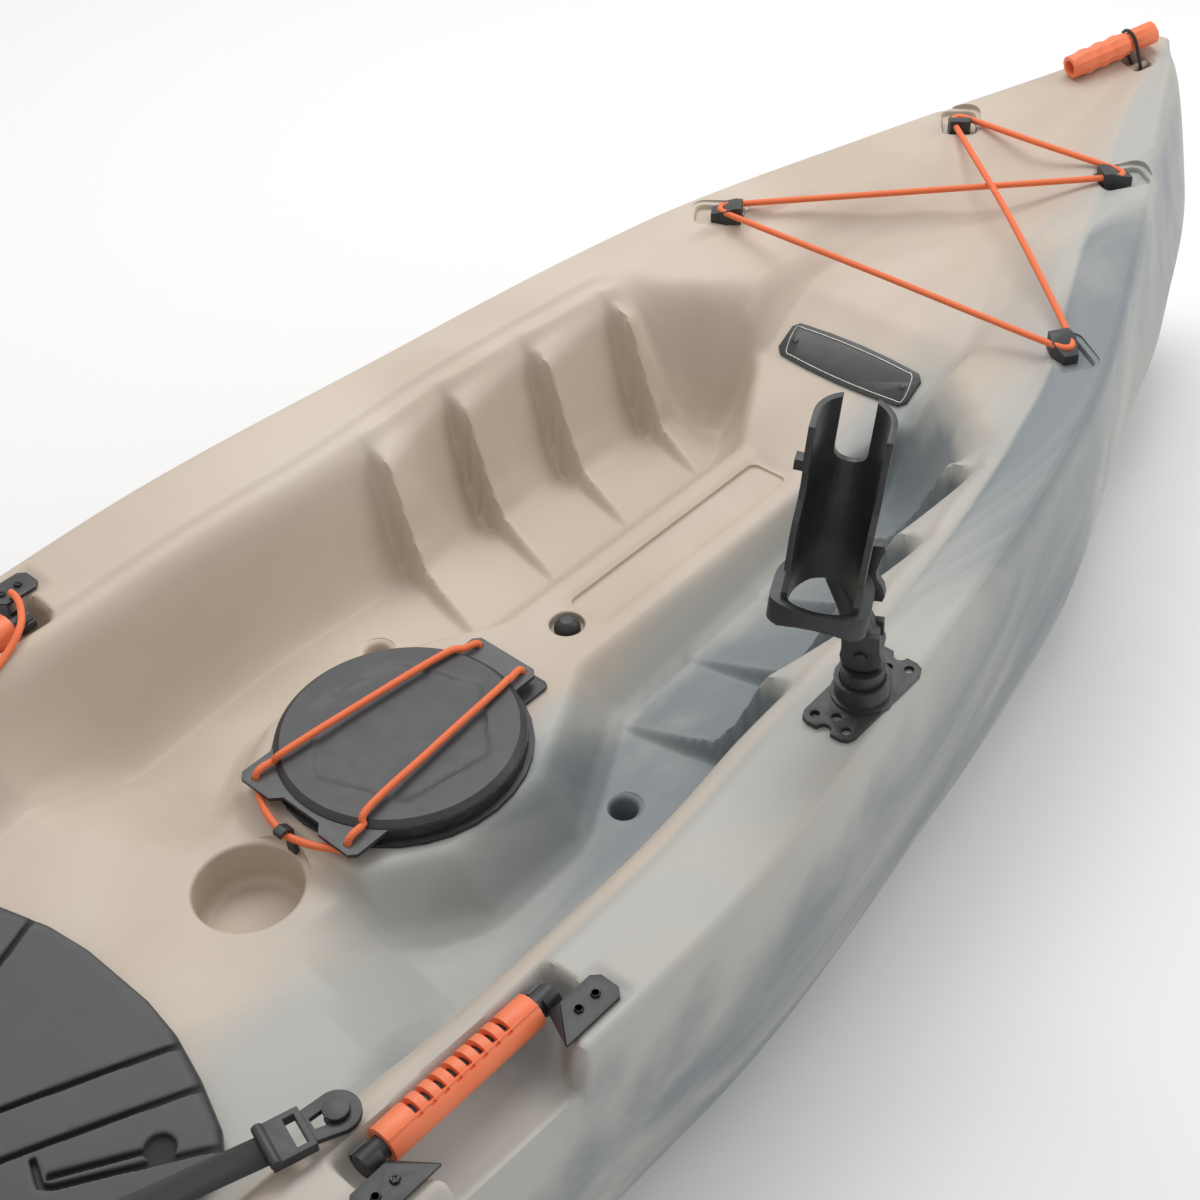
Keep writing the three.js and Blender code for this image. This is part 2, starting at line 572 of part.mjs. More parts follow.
// A cord or strap ring by ring through a list of points; closed on itself or with flat ends
function ringTube(points, radius, sides, closed = false) {
  const count = points.length;
  const tangents = points.map((point, i) => {
    const next = closed ? points[(i + 1) % count] : points[Math.min(i + 1, count - 1)];
    const last = closed ? points[(i + count - 1) % count] : points[Math.max(i - 1, 0)];
    return next.clone().sub(last).normalize();
  });
  const carry = (normal, tangent) => normal.clone().addScaledVector(tangent, -normal.dot(tangent))
    .normalize();
  const start = Math.abs(tangents[0].z) < Math.SQRT1_2 ? new THREE.Vector3(0, 0, 1)
    : new THREE.Vector3(1, 0, 0);
  const normals = [carry(start, tangents[0])];
  for (let i = 1; i < count; i += 1) normals.push(carry(normals[i - 1], tangents[i]));
  let twist = 0;
  if (closed) {
    const back = carry(normals[count - 1], tangents[0]);
    twist = Math.atan2(back.clone().cross(normals[0]).dot(tangents[0]), back.dot(normals[0]));
  }
  const positions = [];
  const index = [];
  for (let i = 0; i < count; i += 1) {
    const side = tangents[i].clone().cross(normals[i]);
    for (let k = 0; k < sides; k += 1) {
      const angle = (2 * Math.PI * k) / sides + (twist * i) / count;
      positions.push(points[i].clone()
        .addScaledVector(normals[i], radius * Math.cos(angle))
        .addScaledVector(side, radius * Math.sin(angle)));
    }
  }
  const spans = closed ? count : count - 1;
  for (let i = 0; i < spans; i += 1) {
    for (let k = 0; k < sides; k += 1) {
      const a = i * sides + k;
      const b = i * sides + ((k + 1) % sides);
      const c = ((i + 1) % count) * sides + k;
      const d = ((i + 1) % count) * sides + ((k + 1) % sides);
      index.push(a, b, c, b, d, c);
    }
  }
  if (!closed) {
    positions.push(points[0].clone(), points[count - 1].clone());
    const first = count * sides;
    const far = (count - 1) * sides;
    for (let k = 0; k < sides; k += 1) {
      const next = (k + 1) % sides;
      index.push(first, next, k, first + 1, far + k, far + next);
    }
  }
  const geometry = new THREE.BufferGeometry().setFromPoints(positions);
  geometry.setIndex(index);
  return geometry;
}

// A belt round pulleys that lie flat, each turned left (+1) or right (-1), as points
function beltRoute(pulleys, radius, arcSteps, lift) {
  const flat = (v) => new THREE.Vector2(v.x, v.y);
  const runs = pulleys.map((pulley, i) => {
    const next = pulleys[(i + 1) % pulleys.length];
    const way = flat(next.at).sub(flat(pulley.at));
    const bend = Math.asin((radius * (pulley.turn - next.turn)) / way.length());
    const angle = Math.atan2(way.y, way.x) + bend;
    return { angle, out: new THREE.Vector2(Math.sin(angle), -Math.cos(angle)) };
  });
  const points = [];
  pulleys.forEach((pulley, i) => {
    const arrive = runs[(i + pulleys.length - 1) % pulleys.length];
    const leave = runs[i];
    let sweep = leave.angle - arrive.angle;
    while (sweep * pulley.turn < 0) sweep += pulley.turn * 2 * Math.PI;
    while (Math.abs(sweep) > 2 * Math.PI) sweep -= pulley.turn * 2 * Math.PI;
    for (let k = 0; k <= arcSteps; k += 1) {
      const angle = arrive.angle + (sweep * k) / arcSteps;
      const out = new THREE.Vector2(Math.sin(angle), -Math.cos(angle)).multiplyScalar(radius * pulley.turn);
      points.push(new THREE.Vector3(pulley.at.x + out.x, pulley.at.y + out.y, pulley.at.z));
    }
    const next = pulleys[(i + 1) % pulleys.length];
    const from = points[points.length - 1];
    const to = new THREE.Vector3(next.at.x + leave.out.x * radius * next.turn,
      next.at.y + leave.out.y * radius * next.turn, next.at.z);
    const middle = from.clone().lerp(to, 0.5);
    middle.z += lift[i];
    points.push(middle);
  });
  return points;
}

// Four pad-eyes in moulded pockets and the bungee laced across them
function lacing(name, foreX, aftX) {
  const eyes = [[aftX, 1], [aftX, -1], [foreX, 1], [foreX, -1]].map(([x, side]) => {
    const y = side * (gunwale(x) + padEye.width / 4);
    const yaw = Math.atan2(-y, (aftX + foreX) / 2 - x);
    const frame = deckFrame(x, y, yaw, padEye.pocketDepth);
    return { x, side, frame, at: new THREE.Vector3(0, 0, padEye.cordHeight).applyMatrix4(frame) };
  });
  const pulleys = eyes.map((eye) => ({ at: eye.at, turn: eye.x === aftX ? 1 : -1 }));
  const over = bungee.radius + bungee.room * 2;
  const route = beltRoute(pulleys, padEye.pulley, 4, [0, 2 * over, 0, 0]);
  const side = (eye) => (eye.side > 0 ? 'port' : 'star');
  const end = (eye) => (eye.x === foreX ? 'fore' : 'aft');
  return { name, eyes, route, label: (eye) => `${name}_padeye_${side(eye)}_${end(eye)}` };
}
const bowLacing = lacing('bow', padEye.bowForeShare * HALF, padEye.bowAftShare * HALF);
const sternLacing = lacing('tank', -padEye.sternForeShare * HALF, -padEye.sternAftShare * HALF);

function padEyePocket() {
  const outline = roundedOutline(padEye.pocketLength, padEye.pocketWidth, padEye.corner);
  return slab(outline, padEye.height * 3).translate(-padEye.nose / 2, 0, 0);
}
function padEyeBody() {
  const a = padEye.length / 2;
  const b = padEye.width / 2;
  const profile = new THREE.Shape();
  profile.moveTo(-a, 0);
  profile.lineTo(a, 0);
  profile.lineTo(a, padEye.height);
  profile.lineTo(a - padEye.nose / 2, padEye.height);
  profile.lineTo(-a, padEye.height / 2);
  const wedge = new THREE.ExtrudeGeometry(profile, { depth: padEye.width, bevelEnabled: false })
    .rotateX(Math.PI / 2).translate(0, b, 0);
  const plan = new THREE.Shape();
  plan.moveTo(-a - OVERRUN, -b / 2);
  plan.lineTo(a - padEye.nose, -b);
  plan.lineTo(a + OVERRUN, -b * 0.8);
  plan.lineTo(a + OVERRUN, b * 0.8);
  plan.lineTo(a - padEye.nose, b);
  plan.lineTo(-a - OVERRUN, b / 2);
  return solid(wedge).intersect(solid(slab(plan, padEye.height + OVERRUN, -OVERRUN)));
}

const pocketTools = [];
for (const set of [bowLacing, sternLacing]) {
  const cordRoom = ringTube(set.route, bungee.radius + bungee.room, bungee.sides, true);
  for (const eye of set.eyes) {
    pocketTools.push(moved(padEyePocket(), eye.frame));
    const frame = eye.frame.clone().multiply(new THREE.Matrix4().makeTranslation(0, 0, CLEAR));
    const body = solid(geometryOf(padEyeBody()).applyMatrix4(frame));
    addPiece(set.label(eye), body.subtract(solid(cordRoom)), blackPlastic);
  }
  addPiece(`${set.name}_bungee`, ringTube(set.route, bungee.radius, bungee.sides, true), orangeCord);
}

// Toggle grip, tied by a cord loop to a bar across a small pocket, at the bow and at the stern
function toggle(name, end) {
  const x = end * at('bridge');
  const yaw = end > 0 ? -THREE.MathUtils.degToRad(grip.turn) : Math.PI - THREE.MathUtils.degToRad(grip.turn);
  const frame = deckFrame(x, 0, yaw, 0, grip.slopeOver);
  const bar = new THREE.Vector3(0, 0, -grip.barDrop);
  const waist = new THREE.Vector3(0, grip.side, grip.radius + grip.rest);
  const barRing = grip.bar + grip.cord + CLEAR;
  const waistRing = grip.radius - grip.waistDeep + grip.cord + CLEAR;
  const way = waist.clone().sub(bar);
  const tilt = Math.atan2(way.z, way.y);
  const open = Math.asin((waistRing - barRing) / way.length());
  const points = [];
  const arc = (centre, radius, from, to, steps) => {
    for (let k = 0; k <= steps; k += 1) {
      const angle = mix(from, to, k / steps);
      points.push(new THREE.Vector3(0, centre.y + radius * Math.cos(angle),
        centre.z + radius * Math.sin(angle)));
    }
  };
  const quarter = Math.PI / 2;
  arc(waist, waistRing, tilt - quarter - open, tilt + quarter + open, 8);
  arc(bar, barRing, tilt + quarter + open, tilt + 3 * quarter - open, 5);
  const cord = moved(ringTube(points, grip.cord, bungee.sides, true), frame);
  addPiece(`${name}_grip_cord`, cord, webbing);

  const aftPart = grip.length * grip.waistShare;
  const profile = [[grip.bore, 0], [grip.radius, 0]];
  for (let k = 1; k <= grip.ridges; k += 1) {
    const middle = (aftPart - grip.waistWide) * (k / (grip.ridges + 0.6));
    for (const [out, along] of [[0, -1], [grip.ridge, 0], [0, 1]]) {
      profile.push([grip.radius + out, middle + along * grip.waistWide]);
    }
  }
  profile.push([grip.radius, aftPart - grip.waistWide],
    [grip.radius - grip.waistDeep, aftPart - grip.waistWide / 2]);
  profile.push([grip.radius - grip.waistDeep, aftPart + grip.waistWide / 2],
    [grip.radius, aftPart + grip.waistWide]);
  profile.push([grip.radius, grip.length], [grip.bore, grip.length], [grip.bore, 0]);
  const tubeShape = turned(profile, 10).rotateY(Math.PI / 2).translate(waist.x - aftPart, waist.y, waist.z);
  addPiece(`${name}_grip`, moved(tubeShape, frame), orangeRubber);

  const pocket = slab(roundedOutline(grip.pocketWide, grip.pocketLong, padEye.corner), 2 * grip.pocketDepth)
    .translate(0, grip.pocketShift, -grip.pocketDepth);
  const barShape = drum(grip.bar, grip.pocketWide + 2 * OVERRUN, 12).rotateY(Math.PI / 2)
    .translate(-grip.pocketWide / 2 - OVERRUN, 0, bar.z);
  return { pocket: moved(pocket, frame), bar: moved(barShape, frame) };
}
const toggles = [toggle('bow', 1), toggle('stern', -1)];

// Hatch: frame in the hull's mouth, hinged lid with its gasket and the bungee that holds it down
const hatchZ = level.consoleTop;
const frameTop = hatchZ + CLEAR + hatch.flange;

function hatchFrame() {
  const spigotR = hatch.mouthRadius - CLEAR;
  const profile = [
    [spigotR - hatch.spigotWall, hatchZ - hatch.spigot], [spigotR, hatchZ - hatch.spigot],
    [spigotR, hatchZ + CLEAR], [hatch.frameRadius, hatchZ + CLEAR], [hatch.frameRadius, frameTop],
    [spigotR, frameTop], [spigotR, frameTop + hatch.lip / 2],
    [spigotR - hatch.spigotWall, frameTop + hatch.lip / 2],
    [spigotR - hatch.spigotWall, hatchZ - hatch.spigot],
  ];
  const lug = roundedOutline(2 * (hatch.lugReach + hatch.lidEdge), 2 * hatch.lugHalf, padEye.corner);
  const tab = slab(lug, hatch.flange - CLEAR, hatchZ + CLEAR)
    .translate(hatchX + hatch.frameRadius - hatch.lidEdge, 0, CLEAR / 2);
  return join(solid(turned(profile, 32).translate(hatchX, 0, 0)), [tab]);
}

function lidOutline() {
  const shape = new THREE.Shape();
  const r = hatch.lidRadius;
  const foreX = r + hatch.tabReach;
  const aftX = -(r + hatch.bandReach);
  const foreA = Math.asin(hatch.tabHalf / r);
  const aftA = Math.asin(hatch.bandHalf / r);
  shape.moveTo(foreX, -hatch.tabHalf + padEye.corner);
  shape.lineTo(foreX, hatch.tabHalf - padEye.corner);
  shape.lineTo(foreX - padEye.corner, hatch.tabHalf);
  shape.lineTo(r * Math.cos(foreA), hatch.tabHalf);
  shape.absarc(0, 0, r, foreA, Math.PI - aftA, false);
  shape.lineTo(aftX + padEye.corner, hatch.bandHalf);
  shape.lineTo(aftX, hatch.bandHalf - padEye.corner);
  shape.lineTo(aftX, hatch.notchHalf);
  shape.lineTo(aftX + hatch.notchDeep, hatch.notchHalf - hatch.notchDeep);
  shape.lineTo(aftX + hatch.notchDeep, -hatch.notchHalf + hatch.notchDeep);
  shape.lineTo(aftX, -hatch.notchHalf);
  shape.lineTo(aftX, -hatch.bandHalf + padEye.corner);
  shape.lineTo(aftX + padEye.corner, -hatch.bandHalf);
  shape.lineTo(-r * Math.cos(aftA), -hatch.bandHalf);
  shape.absarc(0, 0, r, Math.PI + aftA, 2 * Math.PI - foreA, false);
  shape.lineTo(foreX - padEye.corner, -hatch.tabHalf);
  return shape;
}
const lidHoles = [
  [hatch.lidRadius + hatch.tabReach - hatch.holeInset, hatch.holeFore],
  [-(hatch.lidRadius + hatch.bandReach) + hatch.holeInset, hatch.holeAft],
];
const lidZ = frameTop + hatch.lip;
function hatchLid() {
  const edge = lidZ + hatch.tabThick;
  const domeR = hatch.lidRadius - hatch.lidEdge;
  const dome = turned([
    [0, lidZ + hatch.lidWall], [domeR, lidZ + hatch.lidWall / 2], [domeR, edge],
    [domeR - hatch.dome, edge + hatch.dome / 2], [domeR / 2, edge + 0.85 * hatch.dome],
    [0, edge + hatch.dome],
  ], 28);
  const skirtR = hatch.lidRadius;
  const skirt = turned([
    [skirtR - hatch.lidWall, lidZ - hatch.lip + CLEAR], [skirtR, lidZ - hatch.lip + CLEAR],
    [skirtR, lidZ + CLEAR],
    [skirtR - hatch.lidWall, lidZ + CLEAR], [skirtR - hatch.lidWall, lidZ - hatch.lip + CLEAR],
  ], 28);
  const holes = [];
  for (const [x, y] of lidHoles) {
    for (const side of [1, -1]) {
      holes.push(drum(bungee.radius + bungee.room, hatch.tabThick + 2 * OVERRUN, 10, lidZ - OVERRUN)
        .translate(x, side * y, 0));
    }
  }
  return cut(join(solid(slab(lidOutline(), hatch.tabThick, lidZ, 7)), [dome, skirt]), holes)
    .translate([hatchX, 0, 0]);
}
function hatchGasket() {
  const r = hatch.mouthRadius + hatch.gasket / 2;
  const low = frameTop + CLEAR;
  const high = lidZ - CLEAR;
  return turned([[r, low], [r + 2 * hatch.gasket, low], [r + 2 * hatch.gasket, high], [r, high], [r, low]],
    20)
    .translate(hatchX, 0, 0);
}
// Half of the lid's bungee, from the knot under the front tab back to the hook; the other half mirrors it
function lidBungeeHalf() {
  const r = bungee.radius;
  const top = lidZ + hatch.tabThick + r + 3 * CLEAR;
  const high = lidZ + hatch.tabThick + hatch.dome + r + 3 * CLEAR;
  const [[foreX, foreY], [aftX, aftY]] = lidHoles;
  const under = lidZ - r - 2 * CLEAR;
  const line = (x, share, z) => [hatchX + x, mix(foreY, aftY, share), z];
  const knotX = hatchX + foreX;
  return [
    [knotX, foreY, lidZ - r / 2], [knotX, foreY, lidZ + hatch.tabThick], [knotX - r / 2, foreY, top - CLEAR],
    line(foreX - 2.4 * r, 0.03, top + r / 2), line(foreX - 6 * r, 0.1, top + r / 2),
    line(hatch.lidRadius - 2 * hatch.lidEdge, 0.22, high - r / 2), line(0, 0.53, high + r / 4),
    line(-hatch.lidRadius + 2 * hatch.lidEdge, 0.86, high - r / 2), line(aftX + 6 * r, 0.94, top + r / 2),
    line(aftX + 2.4 * r, 0.99, top + r / 2), [hatchX + aftX + r / 2, aftY, top - CLEAR],
    [hatchX + aftX, aftY, lidZ + hatch.tabThick], [hatchX + aftX, aftY, lidZ - r / 2],
    [hatchX + aftX - 0.8 * r, aftY - 0.8 * r, under - r / 4], [hatchX + aftX - 2 * r, aftY - 3 * r, under],
    [hatchX + aftX - 4.6 * r, aftY / 2, under - r / 2], [hatchX + aftX - 6.2 * r, 1.6 * r, under - r],
  ];
}
function hatchBungeePoints() {
  const half = lidBungeeHalf();
  const tip = half[half.length - 1];
  const across = half.slice().reverse().map(([x, y, z]) => [x, -y, z]);
  return [...half, [tip[0] - bungee.radius / 3, 0, tip[2]], ...across].map(vector);
}
const hookLean = hatchX + lidHoles[1][0] - 6.4 * bungee.radius;
function hatchHook() {
  const r = bungee.radius;
  const ground = level.cupTop + CLEAR;
  const cordZ = lidZ - 2 * CLEAR - 2 * r;
  const post = hookLean + r + CLEAR * 2;
  const outline = [[post, ground], [post + 1.2 * r, ground], [post + 1.2 * r, cordZ + r],
    [post - r, cordZ + 2.4 * r],
    [post - 3 * r, cordZ + 2 * r], [post - 3.2 * r, cordZ + r / 2], [post - 2.7 * r, cordZ + r / 2],
    [post - 2.4 * r, cordZ + r + CLEAR * 3], [post, cordZ + r + CLEAR * 3]];
  return new THREE.ExtrudeGeometry(polygon(outline), { depth: 3 * r, bevelEnabled: false })
    .rotateX(Math.PI / 2).translate(0, 1.5 * r, 0);
}
addPiece('hatch_frame', hatchFrame(), blackPlastic);
addPiece('hatch_lid', hatchLid(), greyPlastic);
addPiece('hatch_gasket', hatchGasket(), blackPlastic);
addPiece('hatch_bungee', ringTube(hatchBungeePoints(), bungee.radius, bungee.sides), orangeCord);
addPiece('hatch_hook', hatchHook(), blackPlastic);

// A flat sheet between corners in one plane, and a flat strap through points
function sheet(corners, thickness) {
  const points = corners.map(vector);
  const normal = points[1].clone().sub(points[0]).cross(points[2].clone().sub(points[0]))
    .setLength(thickness / 2);
  const count = points.length;
  const all = [...points.map((q) => q.clone().add(normal)), ...points.map((q) => q.clone().sub(normal))];
  const index = [];
  for (let k = 1; k + 1 < count; k += 1) index.push(0, k, k + 1, count, count + k + 1, count + k);
  for (let k = 0; k < count; k += 1) {
    const next = (k + 1) % count;
    index.push(k, count + k, next, next, count + k, count + next);
  }
  const geometry = new THREE.BufferGeometry().setFromPoints(all);
  geometry.setIndex(index);
  return geometry;
}
function ribbon(points, width, thickness, turnFrom) {
  const last = points.length - 1;
  const rings = points.map((point, i) => {
    const tangent = points[Math.min(i + 1, last)].clone().sub(points[Math.max(i - 1, 0)]).normalize();
    const turn = (Math.PI / 2) * ramp(i, turnFrom, last - 1);
    const flat = tangent.clone().cross(new THREE.Vector3(0, 0, 1)).normalize();
    const side = flat.clone().applyAxisAngle(tangent, turn).setLength(width / 2);
    const up = side.clone().cross(tangent).setLength(thickness / 2);
    return [[1, 1], [-1, 1], [-1, -1], [1, -1]]
      .map(([a, b]) => point.clone().addScaledVector(side, a).addScaledVector(up, b));
  });
  return loft(rings);
}

// Console: push-in plug in its recess and a bare plate on the sloping face
const faceSlope = Math.atan2(level.plateHead - level.plateFoot, at('faceHead') - at('faceBend'));
function consolePlug() {
  const base = level.consoleTop - plug.recessDepth + CLEAR;
  return turned([
    [0, base - plug.stem], [plug.stemRadius - CLEAR, base - plug.stem], [plug.stemRadius - CLEAR, base],
    [plug.headRadius, base], [plug.headRadius, base + plug.headHeight / 3],
    [plug.headRadius - OVERRUN, base + 0.8 * plug.headHeight], [plug.headRadius / 2, base + plug.headHeight],
    [0, base + plug.headHeight],
  ], 16).translate(plugX, 0, 0);
}
function consolePlate() {
  const a = plate.length / 2;
  const b = plate.ends / 2;
  const shape = new THREE.Shape();
  shape.moveTo(-b, -a + plate.corner);
  shape.quadraticCurveTo(plate.ends - plate.middle - b, 0, -b, a - plate.corner);
  shape.lineTo(-b + plate.corner, a);
  shape.lineTo(b - plate.corner, a);
  shape.lineTo(b, a - plate.corner);
  shape.quadraticCurveTo(b + plate.middle - plate.ends, 0, b, -a + plate.corner);
  shape.lineTo(b - plate.corner, -a);
  shape.lineTo(-b + plate.corner, -a);
  const rivets = [1, -1].map((side) => drum(plate.rivet, plate.thickness, 10, plate.thickness / 2)
    .translate(0, side * (a - 2 * plate.corner), 0));
  return geometryOf(join(solid(slab(shape, plate.thickness, 0, 8)), rivets))
    .rotateY(-faceSlope)
    .translate((at('faceBend') + at('faceHead')) / 2 - CLEAR * Math.sin(faceSlope), 0,
      (level.plateFoot + level.plateHead) / 2 + CLEAR * Math.cos(faceSlope));
}
addPiece('console_plug', consolePlug(), blackPlastic);
addPiece('console_plate', consolePlate(), greyPlastic);

// Rod holder on the starboard gunwale: base, turning post, tilting head, cradle and lock lever
const mountY = mount.fromEdge - breadth(at('rodMount'));
const mountFrame = deckFrame(at('rodMount'), mountY, 0, mount.sunk, mount.pitchSpan);
const rodFrame = mountFrame.clone()
  .multiply(new THREE.Matrix4().makeRotationZ(THREE.MathUtils.degToRad(rod.turn)));
function rodBase() {
  const a = mount.length / 2;
  const b = mount.width / 2;
  const holes = [];
  for (const [x, y] of [[1, 1], [1, -1], [-1, 1], [-1, -1]]) {
    holes.push(drum(mount.hole, 3 * mount.thick, 8, -mount.thick)
      .translate(x * (a - mount.inset), y * (b - mount.inset), 0));
  }
  for (const end of [1, -1]) {
    holes.push(drum(mount.notch, 3 * mount.thick, 12, -mount.thick).translate(end * a, 0, 0));
    holes.push(drum(mount.hole, 3 * mount.thick, 8, -mount.thick)
      .translate(end * (a - 1.8 * mount.inset), 0, 0));
  }
  const collar = drum(mount.collar, mount.collarHeight, 20);
  const foot = drum(mount.collar + OVERRUN, mount.thick + OVERRUN, 20);
  const bore = drum(mount.post + 2 * CLEAR, mount.collarHeight + mount.thick, 20, mount.thick / 2);
  const body = cut(solid(slab(roundedOutline(mount.length, mount.width, mount.corner), mount.thick)), holes);
  return cut(join(body, [collar, foot]), [bore]);
}
const across = (geometry) => geometry.rotateY(Math.PI / 2);
const disc = (radius, width, from, sides = 20) => across(drum(radius, width, sides))
  .translate(from, 0, rod.hingeHeight);
function rodPost() {
  const low = mount.thick / 2 + CLEAR;
  const shoulder = rod.hingeHeight - rod.barrel - CLEAR - OVERRUN;
  const column = drum(mount.post, shoulder - low, 20, low);
  const half = rod.tongue / 2;
  const tongue = slab(roundedOutline(rod.tongue, 2 * rod.barrel, OVERRUN),
    rod.hingeHeight - shoulder + OVERRUN,
    shoulder - OVERRUN);
  const pin = disc(rod.pin, rod.tongue + 2 * rod.cheek + 2 * OVERRUN, -half - rod.cheek - OVERRUN, 14);
  return join(solid(column), [tongue, disc(rod.barrel, rod.tongue, -half), pin]);
}
// Loft between level rectangles, each given by its middle and half sizes
function taper(sections) {
  const rings = sections.map(([x, y, z, a, b]) => {
    const ring = [];
    for (let k = 0; k < 16; k += 1) {
      const angle = (2 * Math.PI * k) / 16;
      const c = Math.cos(angle);
      const d = Math.sin(angle);
      ring.push(new THREE.Vector3(x + a * Math.sign(c) * Math.abs(c) ** 0.6,
        y + b * Math.sign(d) * Math.abs(d) ** 0.6, z));
    }
    return ring;
  });
  return loft(rings);
}
function rodHead() {
  const half = rod.tongue / 2;
  const [nx, ny, nz] = rod.neckTop;
  const wide = rod.neckWide / 2;
  const deep = rod.neckDeep / 2;
  const top = rod.hingeHeight + rod.barrel + OVERRUN;
  const forks = [disc(rod.barrel, rod.cheek, half + CLEAR),
    disc(rod.barrel, rod.cheek, -half - CLEAR - rod.cheek)];
  for (const side of [1, -1]) {
    const cheek = new THREE.BoxGeometry(rod.cheek, 2 * rod.barrel - OVERRUN,
      top - rod.hingeHeight + OVERRUN);
    forks.push(cheek.translate(side * (half + CLEAR + rod.cheek / 2), 0,
      (top + rod.hingeHeight + OVERRUN) / 2));
  }
  const neck = taper([
    [0, 0, rod.hingeHeight + rod.barrel + CLEAR, wide, rod.barrel - OVERRUN],
    [nx / 2, ny / 2, mix(top, nz, 0.5), wide, deep],
    [nx, ny, nz, deep, deep], [rod.saddleAt, ny, nz + rod.saddle[2], rod.saddle[0] / 2, rod.saddle[1] / 2],
  ]);
  const [ey, ez] = rod.lever.eye;
  const { low, tip, high, thick, inset } = rod.lug;
  const lug = polygon([[ny, ez - low], [ey, ez - tip], [ey + tip, ez], [ey, ez + tip], [ny, ez + high]]);
  const lugPlate = new THREE.ExtrudeGeometry(lug, { depth: thick, bevelEnabled: false })
    .rotateX(Math.PI / 2).rotateZ(Math.PI / 2).translate(nx + inset, 0, 0);
  const pin = across(drum(rod.lever.pin, rod.lever.thick + 2 * rod.lever.room, 12))
    .translate(nx + rod.lever.pinInset, ey, ez);
  const bore = disc(rod.pin + CLEAR, 4 * rod.barrel, -2 * rod.barrel, 14);
  const swing = disc(rod.barrel + CLEAR * 2, rod.tongue + 2 * CLEAR, -half - CLEAR);
  return cut(join(solid(neck), [...forks, lugPlate, pin]), [bore, swing]);
}
function rodCradle() {
  const { at: place, radius, wall, depth, length, lean } = rod.trough;
  const { ring, ear } = rod;
  const section = (inner, outer, reach) => {
    const shape = new THREE.Shape();
    shape.moveTo(reach, -outer);
    shape.lineTo(0, -outer);
    shape.absarc(0, 0, outer, 1.5 * Math.PI, Math.PI / 2, true);
    shape.lineTo(reach, outer);
    shape.lineTo(reach, inner);
    shape.lineTo(0, inner);
    shape.absarc(0, 0, inner, Math.PI / 2, 1.5 * Math.PI, false);
    shape.lineTo(reach, -inner);
    return shape;
  };
  const outerR = radius + wall;
  const trough = slab(section(radius, outerR, depth), length, 0, 9);
  const lip = slab(section(radius, ring.radius, ring.depth), ring.height, 0, 9);
  const front = new THREE.Shape();
  front.moveTo(0, -ring.radius);
  front.lineTo(ring.depth, -ring.radius);
  front.absellipse(ring.depth, 0, ring.bulge, ring.radius, -Math.PI / 2, Math.PI / 2, false);
  front.lineTo(0, ring.radius);
  front.lineTo(0, radius);
  front.lineTo(ring.depth, radius);
  front.absellipse(ring.depth, 0, ring.bulge - wall, radius, Math.PI / 2, -Math.PI / 2, true);
  front.lineTo(0, -radius);
  const band = slab(front, ring.height, 0, 9);
  const profile = polygon(rimShares.map(([out, along]) =>
    [out * depth, along * length + (along ? 0 : -OVERRUN)]));
  const side = new THREE.ExtrudeGeometry(profile,
    { depth: 2 * ring.radius + 2 * OVERRUN, bevelEnabled: false })
    .rotateX(Math.PI / 2).translate(0, ring.radius + OVERRUN, 0);
  const top = length - ear.long;
  const openings = [
    across(drum(ring.arch, 3 * ring.radius, 28))
    .translate(-1.5 * ring.radius, 0, ring.height / 3 - ring.arch),
    across(drum(ear.gap, 2 * ring.radius, 16)).translate(-2 * ring.radius, 0, top),
    new THREE.BoxGeometry(2 * ring.radius, 2 * ear.gap, length).translate(-ring.radius, 0, top + length / 2),
  ];
  for (const edge of [1, -1]) {
    for (const step of [0.25, 0.65]) {
      openings.push(new THREE.BoxGeometry(ear.slot, 3 * wall, ear.slotLong)
        .translate(radius / 3, edge * (radius + wall / 2), length - ear.long * step));
    }
  }
  openings.push(new THREE.BoxGeometry(2 * ring.radius, 3 * ring.radius, 3 * ring.height)
    .translate(-ring.radius - outerR, 0, 0));
  let body = cut(join(solid(trough).intersect(solid(side)), [lip, band]), openings);
  const [px, py, pz] = place;
  const tab = new THREE.BoxGeometry(2 * wall, 2 * wall, 2 * wall)
    .translate(0, -outerR - wall / 2, length - ear.long);
  body = join(body, [tab]);
  return body.rotate([-lean, 0, 0]).translate([px, py, pz]);
}
function rodLever() {
  const { eye: [ey, ez], length, reach } = rod.lever;
  const outline = polygon(leverShares.map(([out, up]) => [ey + out * reach, ez + up * length]));
  const body = new THREE.ExtrudeGeometry(outline, { depth: rod.lever.thick, bevelEnabled: false })
    .rotateX(Math.PI / 2).rotateZ(Math.PI / 2).translate(rod.neckTop[0] + rod.lever.off + CLEAR, 0, 0);
  const bore = across(drum(rod.lever.bore, 4 * rod.lever.thick, 12)).translate(rod.neckTop[0], ey, ez);
  return cut(solid(body), [bore]);
}
const standing = (shape) => moved(geometryOf(shape), rodFrame);
addPiece('rod_mount_base', moved(geometryOf(rodBase()), mountFrame.clone()
  .multiply(new THREE.Matrix4().makeTranslation(0, 0, CLEAR))), blackPlastic);
addPiece('rod_post', standing(rodPost().translate([0, 0, CLEAR])), blackPlastic);
addPiece('rod_tilt_head', standing(rodHead().translate([0, 0, CLEAR])), blackPlastic);
addPiece('rod_cradle', standing(rodCradle().translate([0, 0, CLEAR])), blackPlastic);
addPiece('rod_lock_lever', standing(rodLever().translate([0, 0, CLEAR])), blackPlastic);

